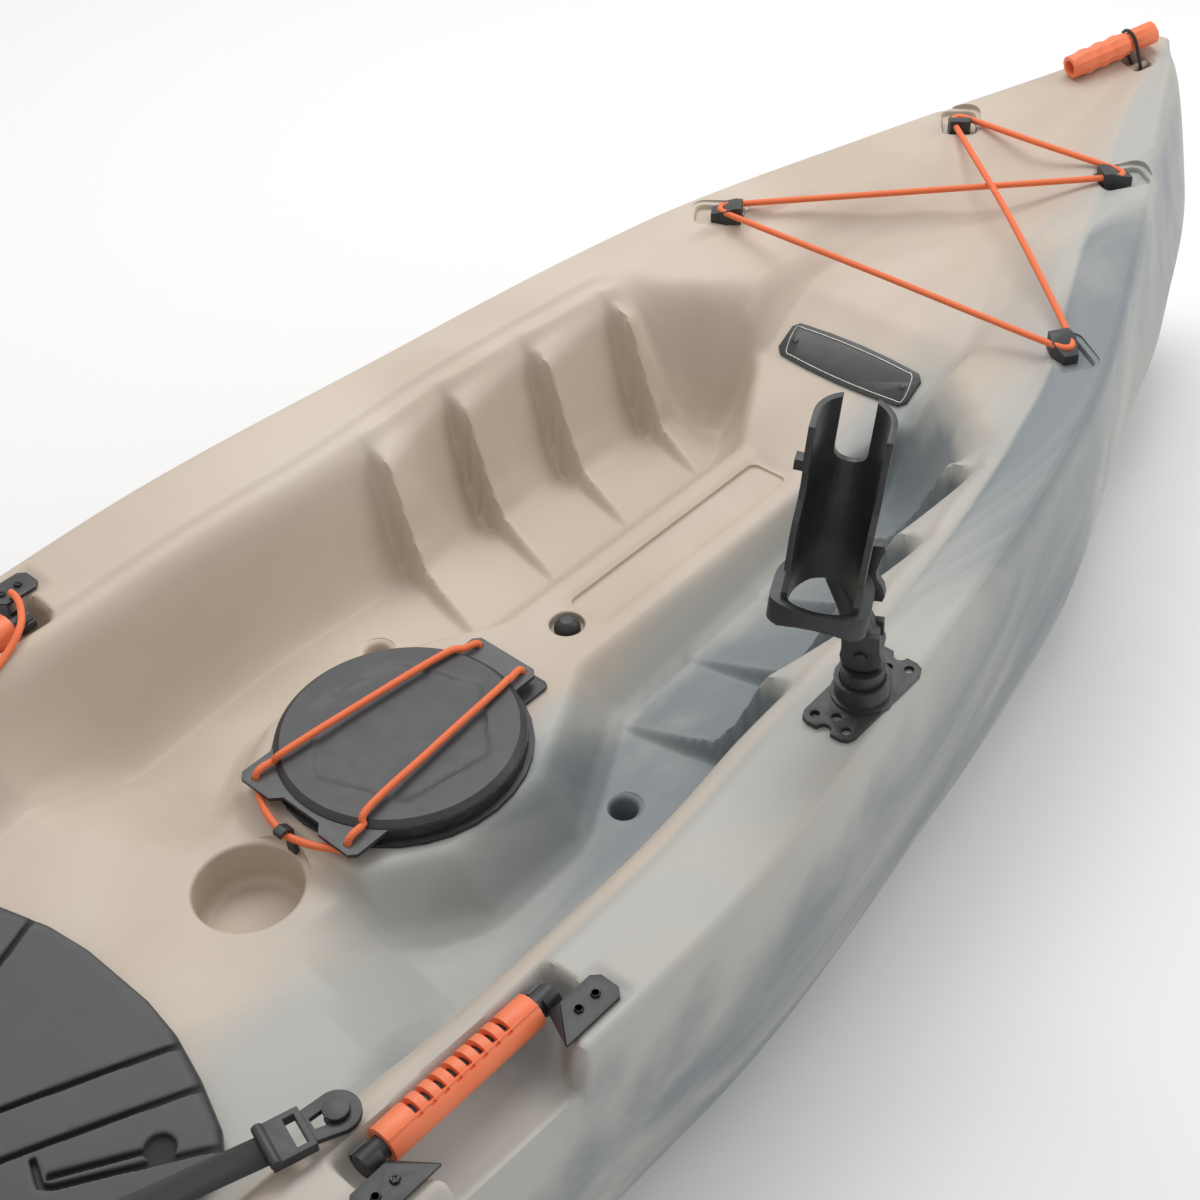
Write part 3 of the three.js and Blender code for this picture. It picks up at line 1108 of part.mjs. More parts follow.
// Side handles: a sleeve on a black bar, held by two folded plates on each gunwale
const sides = { port: 1, star: -1 };
const handleTools = [];
const handleBacking = [];
function mirrored(geometry, side) {
  return side > 0 ? geometry : geometry.clone().scale(1, -1, 1);
}
function turnedEnd(geometry, end) {
  return end > 0 ? geometry : geometry.clone().translate(-handle.middle, 0, 0).scale(-1, 1, 1)
    .translate(handle.middle, 0, 0);
}
const handleY = breadth(handle.middle) - handle.fromEdge;
const handleZ = sheer(handle.middle) - handle.drop;
const plateInY = handleY + handle.plateIn;
const plateOutY = handleY + handle.plateOut;
const screwY = handleY + handle.screwIn;
const handleTop = sheer(handle.middle + handle.plateFront / 1.3) - handle.sunk;
function handlePlate() {
  const low = handleTop + CLEAR;
  const { plateFront: front, plateBack: back, plateBend: bend } = handle;
  const [inY, outY, y, z] = [plateInY, plateOutY, handleY, handleZ];
  const corner = padEye.corner;
  const outline = polygon([[front, inY + corner], [front, outY - corner], [front - corner, outY],
    [back, outY],
    [bend, inY], [front - corner, inY]]);
  const body = slab(outline, handle.thick, low);
  const claspFrom = handle.middle + handle.coreLength / 2 - handle.claspLong;
  const inner = handle.coreRadius + 2 * CLEAR;
  const pipe = cut(solid(across(drum(handle.clasp, handle.claspLong, 20))), [
    across(drum(inner, 3 * handle.claspLong, 20)).translate(-handle.claspLong, 0, 0),
    new THREE.BoxGeometry(3 * handle.claspLong, 2 * handle.clasp, 2 * handle.clasp)
      .translate(0, -handle.clasp / 2, handle.clasp + inner / 3),
  ]).translate([claspFrom, y, z]);
  const mid = (inner + handle.clasp) / 2;
  const onTop = low + handle.thick / 2;
  const flap = sheet([[bend, inY + CLEAR, onTop], [back, outY, onTop],
    [claspFrom + CLEAR, y + mid, z - CLEAR]], handle.flap);
  const web = sheet([[bend, inY + OVERRUN, onTop], [claspFrom + CLEAR, y + mid, z - CLEAR],
    [claspFrom + handle.claspLong / 2, y + mid, z]],
    handle.flap);
  const holes = handle.screws.map((x) => drum(handle.shank + CLEAR, 4 * handle.thick, 8, low - handle.thick)
    .translate(x, screwY, 0));
  return cut(join(solid(body), [flap, web]).add(pipe), holes);
}
function handleScrew(x) {
  const low = handleTop + 2 * CLEAR + handle.thick;
  const head = turned([[0, low - handle.shankLong - handle.thick], [handle.shank, low - handle.shankLong],
    [handle.shank, low], [handle.screwRadius, low], [handle.screwRadius * 0.8, low + handle.screwHead],
    [0, low + handle.screwHead]], 6);
  const bars = [new THREE.BoxGeometry(handle.screwRadius, handle.cross, handle.screwHead),
    new THREE.BoxGeometry(handle.cross, handle.screwRadius, handle.screwHead)]
    .map((bar) => bar.translate(0, 0, low + handle.screwHead));
  return geometryOf(cut(solid(head), bars)).translate(x, screwY, 0);
}
function handleGrip() {
  const sleeve = cut(solid(across(drum(handle.gripRadius, handle.gripLength, 16))), [
    across(drum(handle.bore, handle.gripLength + 2 * OVERRUN, 12)).translate(-OVERRUN, 0, 0),
  ]);
  const slots = [];
  const first = (handle.gripLength - (handle.slots - 1) * handle.slotStep) / 2;
  for (let k = 0; k < handle.slots; k += 1) {
    slots.push(new THREE.BoxGeometry(handle.slotWide, 2 * handle.gripRadius, handle.gripRadius)
      .translate(first + k * handle.slotStep, 0, handle.slotLow + handle.gripRadius / 2)
      .rotateX(THREE.MathUtils.degToRad(handle.slotTurn)));
  }
  const line = new THREE.BoxGeometry(handle.gripLength, handle.ridge, 2 * handle.ridge)
    .translate(handle.gripLength / 2, 0, handle.gripRadius).rotateX(-Math.PI / 6);
  return geometryOf(join(cut(sleeve, slots), [line]))
    .translate(handle.middle - handle.gripLength / 2, handleY, handleZ);
}
function handleBar() {
  return across(drum(handle.coreRadius, handle.coreLength, 12))
    .translate(handle.middle - handle.coreLength / 2, handleY, handleZ);
}
for (const [name, side] of Object.entries(sides)) {
  for (const [end, way] of [['fore', 1], ['aft', -1]]) {
    const sit = (geometry) => mirrored(turnedEnd(geometry, way), side);
    addPiece(`${name}_handle_plate_${end}`, sit(geometryOf(handlePlate())), blackPlastic);
    handle.screws.forEach((x, i) =>
      addPiece(`${name}_handle_screw_${end}_${i + 1}`, sit(handleScrew(x)), steel));
    const reach = roundedOutline(handle.plateFront - handle.plateBack + 2 * padEye.corner,
      plateOutY - plateInY + padEye.corner, padEye.corner);
    handleTools.push(sit(slab(reach, 3 * handle.thick, handleTop)
      .translate((handle.plateFront + handle.plateBack) / 2, (plateInY + plateOutY) / 2, 0)));
    for (const x of handle.screws) {
      handleTools.push(sit(drum(handle.shank + CLEAR, 4 * handle.shankLong, 6,
        handleTop - 3 * handle.shankLong)
        .translate(x, screwY, 0)));
    }
  }
  const scoop = (extra, sidesRound) => {
    const [y, z] = [handleY + handle.scoopAt[0], handleZ + handle.scoopAt[1]];
    const round = across(drum(handle.scoopRadius + extra, handle.scoopLong + 2 * extra, sidesRound))
      .translate(handle.middle - handle.scoopLong / 2 - extra, y, z);
    const long = handle.scoopLong / 2 + extra;
    const { scoopMid: mid, scoopBend: bend } = handle;
    const half = [[long, 0], [long, plateInY - OVERRUN + extra], [bend + extra, plateInY - CLEAR + extra],
      [mid + extra, plateOutY + extra], [mid + extra, BEAM]];
    const plan = polygon([...half, ...half.slice().reverse().map(([x, v]) => [-x, v])]);
    return mirrored(geometryOf(solid(round)
      .intersect(solid(slab(plan, SHEER_BOW).translate(handle.middle, 0, 0)))), side);
  };
  handleBacking.push(scoop(WALL, 20));
  handleTools.push(scoop(0, 28));
  addPiece(`${name}_handle_bar`, mirrored(handleBar(), side), blackPlastic);
  addPiece(`${name}_handle_grip`, mirrored(handleGrip(), side), orangeRubber);
}

// Cushions: one outline drawn in layer by layer, with grooves pressed into the top
function pillow(outline, middle, layers) {
  const halfLong = Math.max(...outline.map(([x]) => Math.abs(x - middle)));
  const halfWide = Math.max(...outline.map(([, y]) => Math.abs(y)));
  return loft(layers.map(([inset, z]) => outline.map(([x, y]) =>
    new THREE.Vector3(middle + (x - middle) * (1 - inset / halfLong), y * (1 - inset / halfWide), z))));
}
function ditch(points, half, base, height) {
  const path = points.map(([x, y]) => new THREE.Vector2(x, y));
  const left = [];
  const right = [];
  path.forEach((point, i) => {
    const way = path[Math.min(i + 1, path.length - 1)].clone().sub(path[Math.max(i - 1, 0)]).normalize();
    left.push([point.x - way.y * half, point.y + way.x * half]);
    right.unshift([point.x + way.y * half, point.y - way.x * half]);
  });
  return slab(polygon([...left, ...right]), height, base);
}
const seatLevel = level.seatFloor + CLEAR;
const padFront = seatFrontX - seat.frontGap;
const backFoot = at('seatBackFoot') + seat.backGap;
const padLength = padFront - backFoot - seat.backToPad;
const padWidestX = padFront - padEdgeShares[7][0] * padLength;
const padHalf = gunwale(padWidestX) * straight(wallFootShares, padWidestX / HALF) - seat.sideGap;
const backHalf = padHalf - seat.backIn;
const onPad = ([aft, out]) => [padFront - aft * padLength, out * padHalf];
function seatPad() {
  const port = padEdgeShares.map(onPad);
  const starboard = port.slice(1, -1).reverse().map(([x, y]) => [x, -y]);
  const top = seatLevel + seat.thick;
  const body = pillow([...port, ...starboard], padFront - padLength / 2, [
    [seat.crown, seatLevel], [0, seatLevel + seat.crown], [0, top - 1.6 * seat.crown],
    [seat.crown / 2, top - seat.crown / 2],
    [2 * seat.crown, top], [12 * seat.crown, top + seat.crown / 2],
    [26 * seat.crown, top + 0.8 * seat.crown],
  ]);
  const grooves = [];
  for (const side of [1, -1]) {
    for (const line of padGrooveShares) {
      const path = line.map(onPad).map(([x, y]) => [x, side * y]);
      grooves.push(ditch(path, seat.groove, top - seat.grooveDepth, 4 * seat.crown));
    }
    const [x, y] = onPad(padDishShare);
    grooves.push(drum(seat.dishRadius, 4 * seat.crown, 14, top - seat.grooveDepth)
      .translate(x, side * y, 0));
  }
  return cut(solid(body), grooves);
}
const lean = THREE.MathUtils.degToRad(seat.lean);
const backFrame = new THREE.Matrix4().makeTranslation(backFoot, 0, seatLevel + seat.lift)
  .multiply(new THREE.Matrix4().makeRotationY(-Math.PI / 2 - lean));
const onBack = (up, y, out) => vector([up, y, -out]).applyMatrix4(backFrame);
// The back lies in its own frame: first axis up the back, third axis away from the sitter
function seatBack() {
  const { backHeight: high, backThick: thick } = seat;
  const half = backHalf;
  const port = backEdgeShares.map(([up, out]) => [up * high, out * half]);
  const outline = [...port, ...port.slice().reverse().map(([x, y]) => [x, -y])];
  const soft = seat.crown;
  const body = pillow(outline, high / 2, [
    [8 * soft, -thick - soft / 2], [2 * soft, -thick], [0, -thick + 2 * soft], [0, -2 * soft],
    [soft, -soft / 2], [3 * soft, 0],
  ]);
  const ribs = [];
  for (let k = 0; k < seat.ribs; k += 1) {
    const up = seat.ribStep * (k + 1);
    ribs.push(ditch([[up, -0.72 * half], [up + 2 * seat.groove, 0], [up, 0.72 * half]], seat.groove,
      -thick - seat.crown,
      seat.grooveDepth + seat.crown));
  }
  return moved(geometryOf(cut(solid(body), ribs)), backFrame);
}
addPiece('seat_pad', seatPad(), foam);
addPiece('seat_back', seatBack(), foam);

// Straps from the seat back to a pin on each gunwale; each front strap ends in a buckle with a ring
const strapTools = [];
const strapBosses = [];
function pinAt(x, inside) {
  const y = gunwale(x) - inside;
  const base = sheer(x) - CLEAR;
  return { x, y, base, eye: base + strap.high + strap.ringThick / 2 };
}
function strapPin({ x, y, base }) {
  const low = base + CLEAR;
  return turned([[0, base - 2 * strap.pinRadius], [strap.pinRadius / 2, base - 2 * strap.pinRadius],
    [strap.pinRadius / 2, low], [strap.pinHead, low], [strap.pinHead, low + strap.high - 2 * CLEAR],
    [strap.pinRadius, low + strap.high - 2 * CLEAR], [strap.pinRadius, low + strap.pinHigh - strap.high],
    [strap.pinHead, low + strap.pinHigh - strap.high], [strap.pinHead, low + strap.pinHigh],
      [0, low + strap.pinHigh]], 12)
    .translate(x, y, 0);
}
function strapEnds(pin, highUp) {
  const out = backHalf + strap.thick / 2 + CLEAR;
  const anchor = onBack(highUp, out, seat.backThick);
  const sewn = onBack(highUp, out, seat.backThick / 2);
  const away = new THREE.Vector3(anchor.x - pin.x, anchor.y - pin.y, 0).normalize();
  return { anchor, sewn, away, eye: new THREE.Vector3(pin.x, pin.y, pin.eye) };
}
const lyingFrame = (origin, way) => {
  const sideways = new THREE.Vector3(0, 0, 1).cross(way).normalize();
  return new THREE.Matrix4().makeBasis(way, sideways, way.clone().cross(sideways)).setPosition(origin);
};
function buckle({ away, eye }, barAt) {
  const half = strap.ringThick / 2;
  const end = strap.ringFar + strap.buckleLong;
  const ringShape = new THREE.Shape();
  ringShape.absarc(0, 0, strap.ringOut, Math.PI / 2, 1.5 * Math.PI, false);
  ringShape.lineTo(strap.ringFar, -0.8 * strap.ringOut);
  ringShape.lineTo(strap.ringFar, 0.8 * strap.ringOut);
  const hole = new THREE.Path();
  hole.absarc(0, 0, strap.ringIn, Math.PI / 2, 1.5 * Math.PI, false);
  hole.lineTo(strap.ringFar - OVERRUN, -0.6 * strap.ringIn);
  hole.lineTo(strap.ringFar - OVERRUN, 0.6 * strap.ringIn);
  ringShape.holes.push(hole);
  const ring = slab(ringShape, strap.ringThick, -half, 8);
  const frame = new THREE.BoxGeometry(strap.buckleLong, strap.buckleWide, strap.buckleThick)
    .translate(strap.ringFar + strap.buckleLong / 2, 0, 0);
  const slotWide = strap.width + 4 * CLEAR;
  const windows = [
    new THREE.BoxGeometry(strap.buckleLong / 4, slotWide, 2 * strap.buckleThick)
    .translate(strap.ringFar + strap.buckleLong * 0.27, 0, 0),
    new THREE.BoxGeometry(strap.buckleLong / 2, slotWide, strap.thick + 2 * CLEAR)
    .translate(barAt + strap.buckleLong / 4, 0, 0),
  ];
  const bar = drum(strap.buckleThick / 2, strap.buckleWide, 10).rotateX(Math.PI / 2)
    .translate(end - OVERRUN, strap.buckleWide / 2, strap.buckleThick / 3);
  return moved(geometryOf(cut(join(solid(frame), [ring, bar]), windows)), lyingFrame(eye, away));
}
for (const [name, side] of Object.entries(sides)) {
  const front = pinAt(padFront - strap.frontPin[0], strap.frontPin[1]);
  const rear = pinAt(backFoot - strap.rearPin[0], strap.rearPin[1]);
  const frontEnds = strapEnds(front, strap.backHigh[0]);
  const rearEnds = strapEnds(rear, strap.backHigh[1]);
  const barAt = strap.ringFar + strap.buckleLong * 0.6;
  addPiece(`${name}_strap_pin`, mirrored(strapPin(front), side), blackPlastic);
  addPiece(`${name}_strap_buckle`, mirrored(buckle(frontEnds, barAt), side), blackPlastic);
  const run = (ends, first, straightTo) => {
    const start = ends.eye.clone().addScaledVector(ends.away, first);
    const leave = ends.eye.clone().addScaledVector(ends.away, straightTo);
    const between = turnShares.map((share) => leave.clone().lerp(ends.anchor, share));
    return ribbon([start, leave, ...between, ends.anchor, ends.sewn], strap.width, strap.thick, 2);
  };
  addPiece(`${name}_strap_front`, mirrored(run(frontEnds, barAt, strap.ringFar + strap.buckleLong), side),
    webbing);
  const tail = run(rearEnds, -strap.ringOut, strap.ringOut);
  const eyelet = drum(strap.pinRadius + CLEAR, 8 * strap.ringThick, 12, rear.base - strap.ringThick)
    .translate(rear.x, rear.y, 0);
  addPiece(`${name}_strap_rear`, mirrored(geometryOf(cut(solid(tail), [eyelet])), side), webbing);
  addPiece(`${name}_strap_rear_pin`, mirrored(strapPin(rear), side), blackPlastic);
  for (const pin of [front, rear]) {
    strapBosses.push(mirrored(drum(strap.boss, strap.bossLong, 14, pin.base - strap.bossLong)
      .translate(pin.x, pin.y, 0), side));
    strapTools.push(mirrored(drum(strap.pinRadius / 2 + CLEAR, 4 * strap.pinRadius, 8,
      pin.base - 3 * strap.pinRadius)
      .translate(pin.x, pin.y, 0), side));
  }
}

// Paddle cord on the port gunwale: from the front handle plate down into the well and up to a hook
const keeper = paddleCord.path.map(([x, y, above]) => new THREE.Vector3(x, y, deckHeight(x, y) + above));
for (const step of [0, paddleCord.radius]) {
  const [x, y] = paddleCord.end;
  keeper.push(new THREE.Vector3(x, y + step, sheer(x) + 2 * paddleCord.radius));
}
const keeperPath = new THREE.CatmullRomCurve3(keeper, false, 'centripetal');
const keeperSteps = Math.round(keeperPath.getLength() / (5 * paddleCord.radius));
const keeperSection = polygon(Array.from({ length: paddleCord.sides },
  (_, k) => (2 * Math.PI * k) / paddleCord.sides)
  .map((angle) => [paddleCord.radius * Math.cos(angle), paddleCord.radius * Math.sin(angle)]));
const keeperTube = new THREE.ExtrudeGeometry(keeperSection, {
  steps: keeperSteps, extrudePath: keeperPath, bevelEnabled: false,
});
addPiece('paddle_cord', keeperTube, orangeCord);
function paddleHook() {
  const tip = keeper[keeper.length - 1];
  const r = paddleCord.radius;
  const outline = polygon([[0, -r], [paddleCord.hook, -r], [paddleCord.hook + 2 * r, 0],
    [paddleCord.hook + 2 * r, 3 * r],
    [paddleCord.hook, 4 * r], [paddleCord.hook - 2 * r, 4 * r], [paddleCord.hook - 2 * r, 3 * r],
    [paddleCord.hook, 3 * r], [paddleCord.hook, r], [0, r]]);
  return slab(outline, 2 * r, -r).rotateZ(Math.PI / 2).translate(tip.x, tip.y + CLEAR, tip.z);
}
addPiece('paddle_hook', paddleHook(), blackPlastic);

// Flush rod tubes, scuppers and drain plug
const tubeAt = (side) => [at('rodTube'), side * flushTube.offsetShare * gunwale(at('rodTube'))];
function rodTube(side) {
  const [x, y] = tubeAt(side);
  const floor = deckHeight(x, y) - flushTube.sunk;
  const { radius, bore, flange, lipThick, depth, floor: bottom } = flushTube;
  return turned([[0, floor - depth], [radius - CLEAR, floor - depth], [radius - CLEAR, floor + CLEAR],
    [flange, floor + CLEAR], [flange, floor + lipThick / 2], [flange - OVERRUN, floor + lipThick],
    [bore, floor + lipThick], [bore, floor - depth + bottom], [0, floor - depth + bottom]], 18)
        .translate(x, y, 0);
}
function drainPlugPiece() {
  const x = at('drain');
  const floor = deckHeight(x, 0) - drainPlug.sunk + CLEAR;
  return turned([[0, floor - drainPlug.deep], [drainPlug.stem - CLEAR, floor - drainPlug.deep],
    [drainPlug.stem - CLEAR, floor],
    [drainPlug.head, floor], [drainPlug.head, floor + drainPlug.high / 2],
    [drainPlug.head - OVERRUN, floor + drainPlug.high],
    [0, floor + drainPlug.high]], 18).translate(x, 0, 0);
}
addPiece('port_rod_tube', rodTube(1), blackPlastic);
addPiece('star_rod_tube', rodTube(-1), blackPlastic);
addPiece('stern_drain_plug', drainPlugPiece(), blackPlastic);

const scuppers = [];
for (const side of [1, -1]) {
  for (const [place, share] of [['scupperFoot', scupper.footShare], ['scupperSeat', scupper.seatShare],
    ['scupperTank', scupper.tankShare]]) {
    scuppers.push([at(place), side * share * gunwale(at(place))]);
  }
}

// The hull: hollow moulding with its cup, hatch mouth, scupper tubes, recesses and holes
function hull() {
  const upright = (radius, x, y, low, high, round = 16) => drum(radius, high - low, round, low)
    .translate(x, y, 0);
  const fill = (geometry) => solid(geometry).intersect(outer);
  const tall = SHEER_BOW + OVERRUN;
  let body = outer.subtract(cavity);
  body = body.add(fill(upright(cup.radius + WALL, cupX, 0, level.cupTop - cup.depth - cup.floorWall,
    level.cupTop)));
  for (const [x, y] of scuppers) body = body.add(fill(upright(scupper.radius + scupper.wall, x, y, 0, tall,
    10)));
  for (const backing of handleBacking) body = body.add(fill(backing));
  body = join(body, strapBosses);
  body = body.add(fill(upright(plug.recessRadius + WALL, plugX, 0,
    level.consoleTop - plug.recessDepth - WALL, tall)));
  body = body.add(fill(upright(drainPlug.recess + WALL, at('drain'), 0,
    deckHeight(at('drain'), 0) - drainPlug.sunk - WALL, tall)));
  for (const side of [1, -1]) {
    const [x, y] = tubeAt(side);
    const floor = deckHeight(x, y) - flushTube.sunk;
    body = body.add(fill(upright(flushTube.flange + WALL, x, y, floor - WALL, tall)));
  }
  const holes = [
    upright(cup.radius, cupX, 0, level.cupTop - cup.depth, tall, 36),
    upright(hatch.mouthRadius, hatchX, 0, level.consoleTop - 4 * WALL, tall, 32),
    upright(plug.recessRadius, plugX, 0, level.consoleTop - plug.recessDepth, tall),
    upright(plug.stemRadius, plugX, 0, level.consoleTop - plug.recessDepth - 3 * WALL, tall, 16),
    upright(drainPlug.recess, at('drain'), 0, deckHeight(at('drain'), 0) - drainPlug.sunk, tall),
    upright(drainPlug.stem, at('drain'), 0, deckHeight(at('drain'), 0) - 5 * WALL, tall, 18),
    moved(slab(roundedOutline(mount.length + 2 * OVERRUN, mount.width + 2 * OVERRUN, mount.corner),
      4 * mount.thick), mountFrame),
    ...scuppers.map(([x, y]) => upright(scupper.radius, x, y, -OVERRUN, tall, 14)),
  ];
  for (const side of [1, -1]) {
    const [x, y] = tubeAt(side);
    const floor = deckHeight(x, y) - flushTube.sunk;
    holes.push(upright(flushTube.flange + OVERRUN, x, y, floor, tall),
      upright(flushTube.radius, x, y, floor - 3 * WALL, tall, 18));
  }
  body = cut(body, [...holes, ...pocketTools, ...handleTools, ...strapTools,
    ...toggles.map((t) => t.pocket)]);
  return join(body, toggles.map((t) => t.bar));
}
addPiece('hull', hull(), hullPlastic);

export default kayak;
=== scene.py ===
import json
import math
import bmesh
import bpy
import numpy as np
from mathutils import Matrix, Vector


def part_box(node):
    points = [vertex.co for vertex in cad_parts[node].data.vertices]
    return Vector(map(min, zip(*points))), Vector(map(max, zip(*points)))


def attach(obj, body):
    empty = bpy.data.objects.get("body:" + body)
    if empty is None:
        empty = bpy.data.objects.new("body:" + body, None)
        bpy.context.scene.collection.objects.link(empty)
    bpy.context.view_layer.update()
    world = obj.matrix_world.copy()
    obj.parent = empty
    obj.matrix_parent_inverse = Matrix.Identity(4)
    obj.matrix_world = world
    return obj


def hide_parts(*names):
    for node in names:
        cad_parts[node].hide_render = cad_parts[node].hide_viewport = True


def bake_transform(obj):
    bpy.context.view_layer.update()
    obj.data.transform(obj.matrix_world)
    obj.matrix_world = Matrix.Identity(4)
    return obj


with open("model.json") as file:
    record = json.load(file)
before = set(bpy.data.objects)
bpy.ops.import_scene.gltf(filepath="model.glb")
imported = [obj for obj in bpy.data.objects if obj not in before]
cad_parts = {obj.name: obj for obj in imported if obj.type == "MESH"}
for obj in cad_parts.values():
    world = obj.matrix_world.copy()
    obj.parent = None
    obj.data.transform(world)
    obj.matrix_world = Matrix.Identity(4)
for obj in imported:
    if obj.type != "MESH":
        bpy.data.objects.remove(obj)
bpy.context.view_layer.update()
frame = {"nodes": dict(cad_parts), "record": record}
NODES = frame["nodes"]
BODY = {node: body for body, nodes in frame["record"]["behaviour"]["bodies"].items() for node in nodes}
SLOT = {subpart["node"]: subpart["material_slot"] for subpart in frame["record"]["subparts"]}
MM = 0.001
scene = bpy.context.scene
scene.view_settings.view_transform = "Standard"


def linked(name, data):
    """A new object in the scene, at the origin."""
    obj = bpy.data.objects.new(name, data)
    scene.collection.objects.link(obj)
    return obj


# Camera of the photograph: its place in metres, the way it looks, its roll, its lens in mm
CAMERA_AT = (-0.49871, -0.99431, 1.42765)
LOOK = Vector((0.53654, 0.52685, -0.65921)).normalized()
ROLL = math.radians(-3.564)
LENS, SENSOR = 58.265, 36
level_right = LOOK.cross(Vector((0, 0, 1))).normalized()
level_up = level_right.cross(LOOK)
right = level_right * math.cos(ROLL) + level_up * math.sin(ROLL)
up = level_up * math.cos(ROLL) - level_right * math.sin(ROLL)
stand = Matrix((right, up, -LOOK)).transposed().to_4x4()
stand.translation = CAMERA_AT
camera = linked("camera", bpy.data.cameras.new("camera"))
camera.matrix_world = stand
camera.data.lens, camera.data.sensor_width = LENS, SENSOR
camera.data.clip_start, camera.data.clip_end = 0.05, 60
scene.camera = camera


# Materials
class Nodes:
    """A material's node tree, with short calls for the nodes used here."""

    def __init__(self, name, roughness=0.5, metallic=0.0, specular=0.5):
        self.material = bpy.data.materials.new(name)
        self.material.use_nodes = True
        self.tree = self.material.node_tree
        self.shader = self.tree.nodes["Principled BSDF"]
        self.shader.inputs["Roughness"].default_value = roughness
        self.shader.inputs["Metallic"].default_value = metallic
        self.shader.inputs["Specular IOR Level"].default_value = specular
        self.place = self.tree.nodes.new("ShaderNodeTexCoord").outputs["Object"]

    def add(self, kind, settings=(), **links):
        """A new node with its settings and links."""
        node = self.tree.nodes.new(kind)
        for key, value in settings:
            if hasattr(node, key):
                setattr(node, key, value)
            else:
                node.inputs[key].default_value = value
        for key, source in links.items():
            self.tree.links.new(source, node.inputs[key])
        return node

    def attribute(self, name):
        return self.add("ShaderNodeAttribute", [("attribute_name", name)]).outputs["Fac"]

    def math(self, operation, a, b=0.0):
        node = self.add("ShaderNodeMath", [("operation", operation)])
        for i, value in enumerate((a, b)):
            if isinstance(value, (int, float)):
                node.inputs[i].default_value = value
            else:
                self.tree.links.new(value, node.inputs[i])
        return node.outputs[0]

    def swing(self, value, size):
        """A value from 0 to 1 as one of that size about 0."""
        return self.math("MULTIPLY", self.math("SUBTRACT", value, 0.5), size)

    def scaled(self, x, y, z):
        return self.add("ShaderNodeMapping", [("Scale", (x, y, z))], Vector=self.place).outputs[0]

    def noise(self, scale, detail=3.0, rough=0.5, distortion=0.0, at=None):
        settings = [("Scale", scale), ("Detail", detail), ("Roughness", rough), ("Distortion", distortion)]
        return self.add("ShaderNodeTexNoise", settings, Vector=at or self.place).outputs[0]

    def smooth(self, value, low, high):
        settings = [("interpolation_type", "SMOOTHSTEP"), ("From Min", low), ("From Max", high)]
        return self.add("ShaderNodeMapRange", settings, Value=value).outputs["Result"]

    def mix(self, share, a, b):
        node = self.add("ShaderNodeMix", [("data_type", "RGBA")])
        for key, value in ((0, share), (6, a), (7, b)):
            if hasattr(value, "is_linked"):
                self.tree.links.new(value, node.inputs[key])
            else:
                node.inputs[key].default_value = value if key == 0 else (*value, 1)
        return node.outputs[2]

    def colour(self, value):
        self.tree.links.new(value, self.shader.inputs["Base Color"])

    def rough(self, value, low, high):
        spread = self.add("ShaderNodeMapRange", [("To Min", low), ("To Max", high)], Value=value)
        self.tree.links.new(spread.outputs[0], self.shader.inputs["Roughness"])

    def bump(self, height, distance, strength=1.0):
        node = self.add("ShaderNodeBump", [("Strength", strength), ("Distance", distance)], Height=height)
        if self.shader.inputs["Normal"].is_linked:
            self.tree.links.new(self.shader.inputs["Normal"].links[0].from_socket, node.inputs["Normal"])
        self.tree.links.new(node.outputs[0], self.shader.inputs["Normal"])


def lin(r, g, b):
    """A screen colour from 0 to 255 as Blender's linear one."""
    return tuple((c / 255 / 12.92 if c <= 10 else ((c / 255 + 0.055) / 1.055) ** 2.4) for c in (r, g, b))


def times(shade, factor):
    return tuple(min(c * factor, 1) for c in shade)


HULL_TAN = lin(207, 193, 177)
HULL_SAND = lin(195, 179, 162)
HULL_PALE = lin(178, 177, 171)
HULL_BLUE = lin(124, 131, 134)


def hull_material():
    """Rotomoulded plastic in swirled colours; 'paint' says how far from tan to blue-grey it goes."""
    m = Nodes("hull_swirl", 0.46)
    drift = m.noise(1.1, 2.0, 0.45, 0.6, m.scaled(0.8, 1.6, 1.2))
    wisps = m.noise(2.4, 4.0, 0.55, 1.6, m.scaled(0.7, 1.9, 1.4))
    swirl = m.math("ADD", m.swing(drift, 1.4), m.swing(wisps, 0.9))
    total = m.math("ADD", m.attribute("paint"), swirl)
    grey = m.smooth(total, 0.02, 0.62)
    blue = m.smooth(m.math("ADD", total, m.swing(wisps, 0.8)), 0.66, 1.3)
    warm = m.mix(m.smooth(m.noise(3.0, 3.0, 0.5, 0.8), 0.35, 0.68), HULL_TAN, HULL_SAND)
    m.colour(m.mix(blue, m.mix(grey, warm, HULL_PALE), HULL_BLUE))
    m.rough(m.noise(35.0, 4.0, 0.6), 0.42, 0.54)
    m.bump(m.noise(900.0, 2.0, 0.5), 0.00006)
    m.bump(m.noise(60.0, 2.0, 0.5), 0.0002, 0.6)
    return m.material


def moulded(name, shade, roughness=0.48, grain=1400.0, deep=0.00008, tint=(0.25, 0.25, 0.25)):
    """Moulded plastic: a fine grain, small variation of gloss and colour."""
    m = Nodes(name, roughness)
    patches = m.noise(45.0, 4.0, 0.6)
    lighter = tuple(c + (1 - c) * 0.05 * t for c, t in zip(shade, tint))
    m.colour(m.mix(m.smooth(patches, 0.35, 0.75), shade, lighter))
    m.rough(m.noise(70.0, 3.0, 0.5), roughness - 0.05, roughness + 0.09)
    m.bump(m.noise(grain, 2.0, 0.6), deep)
    return m.material


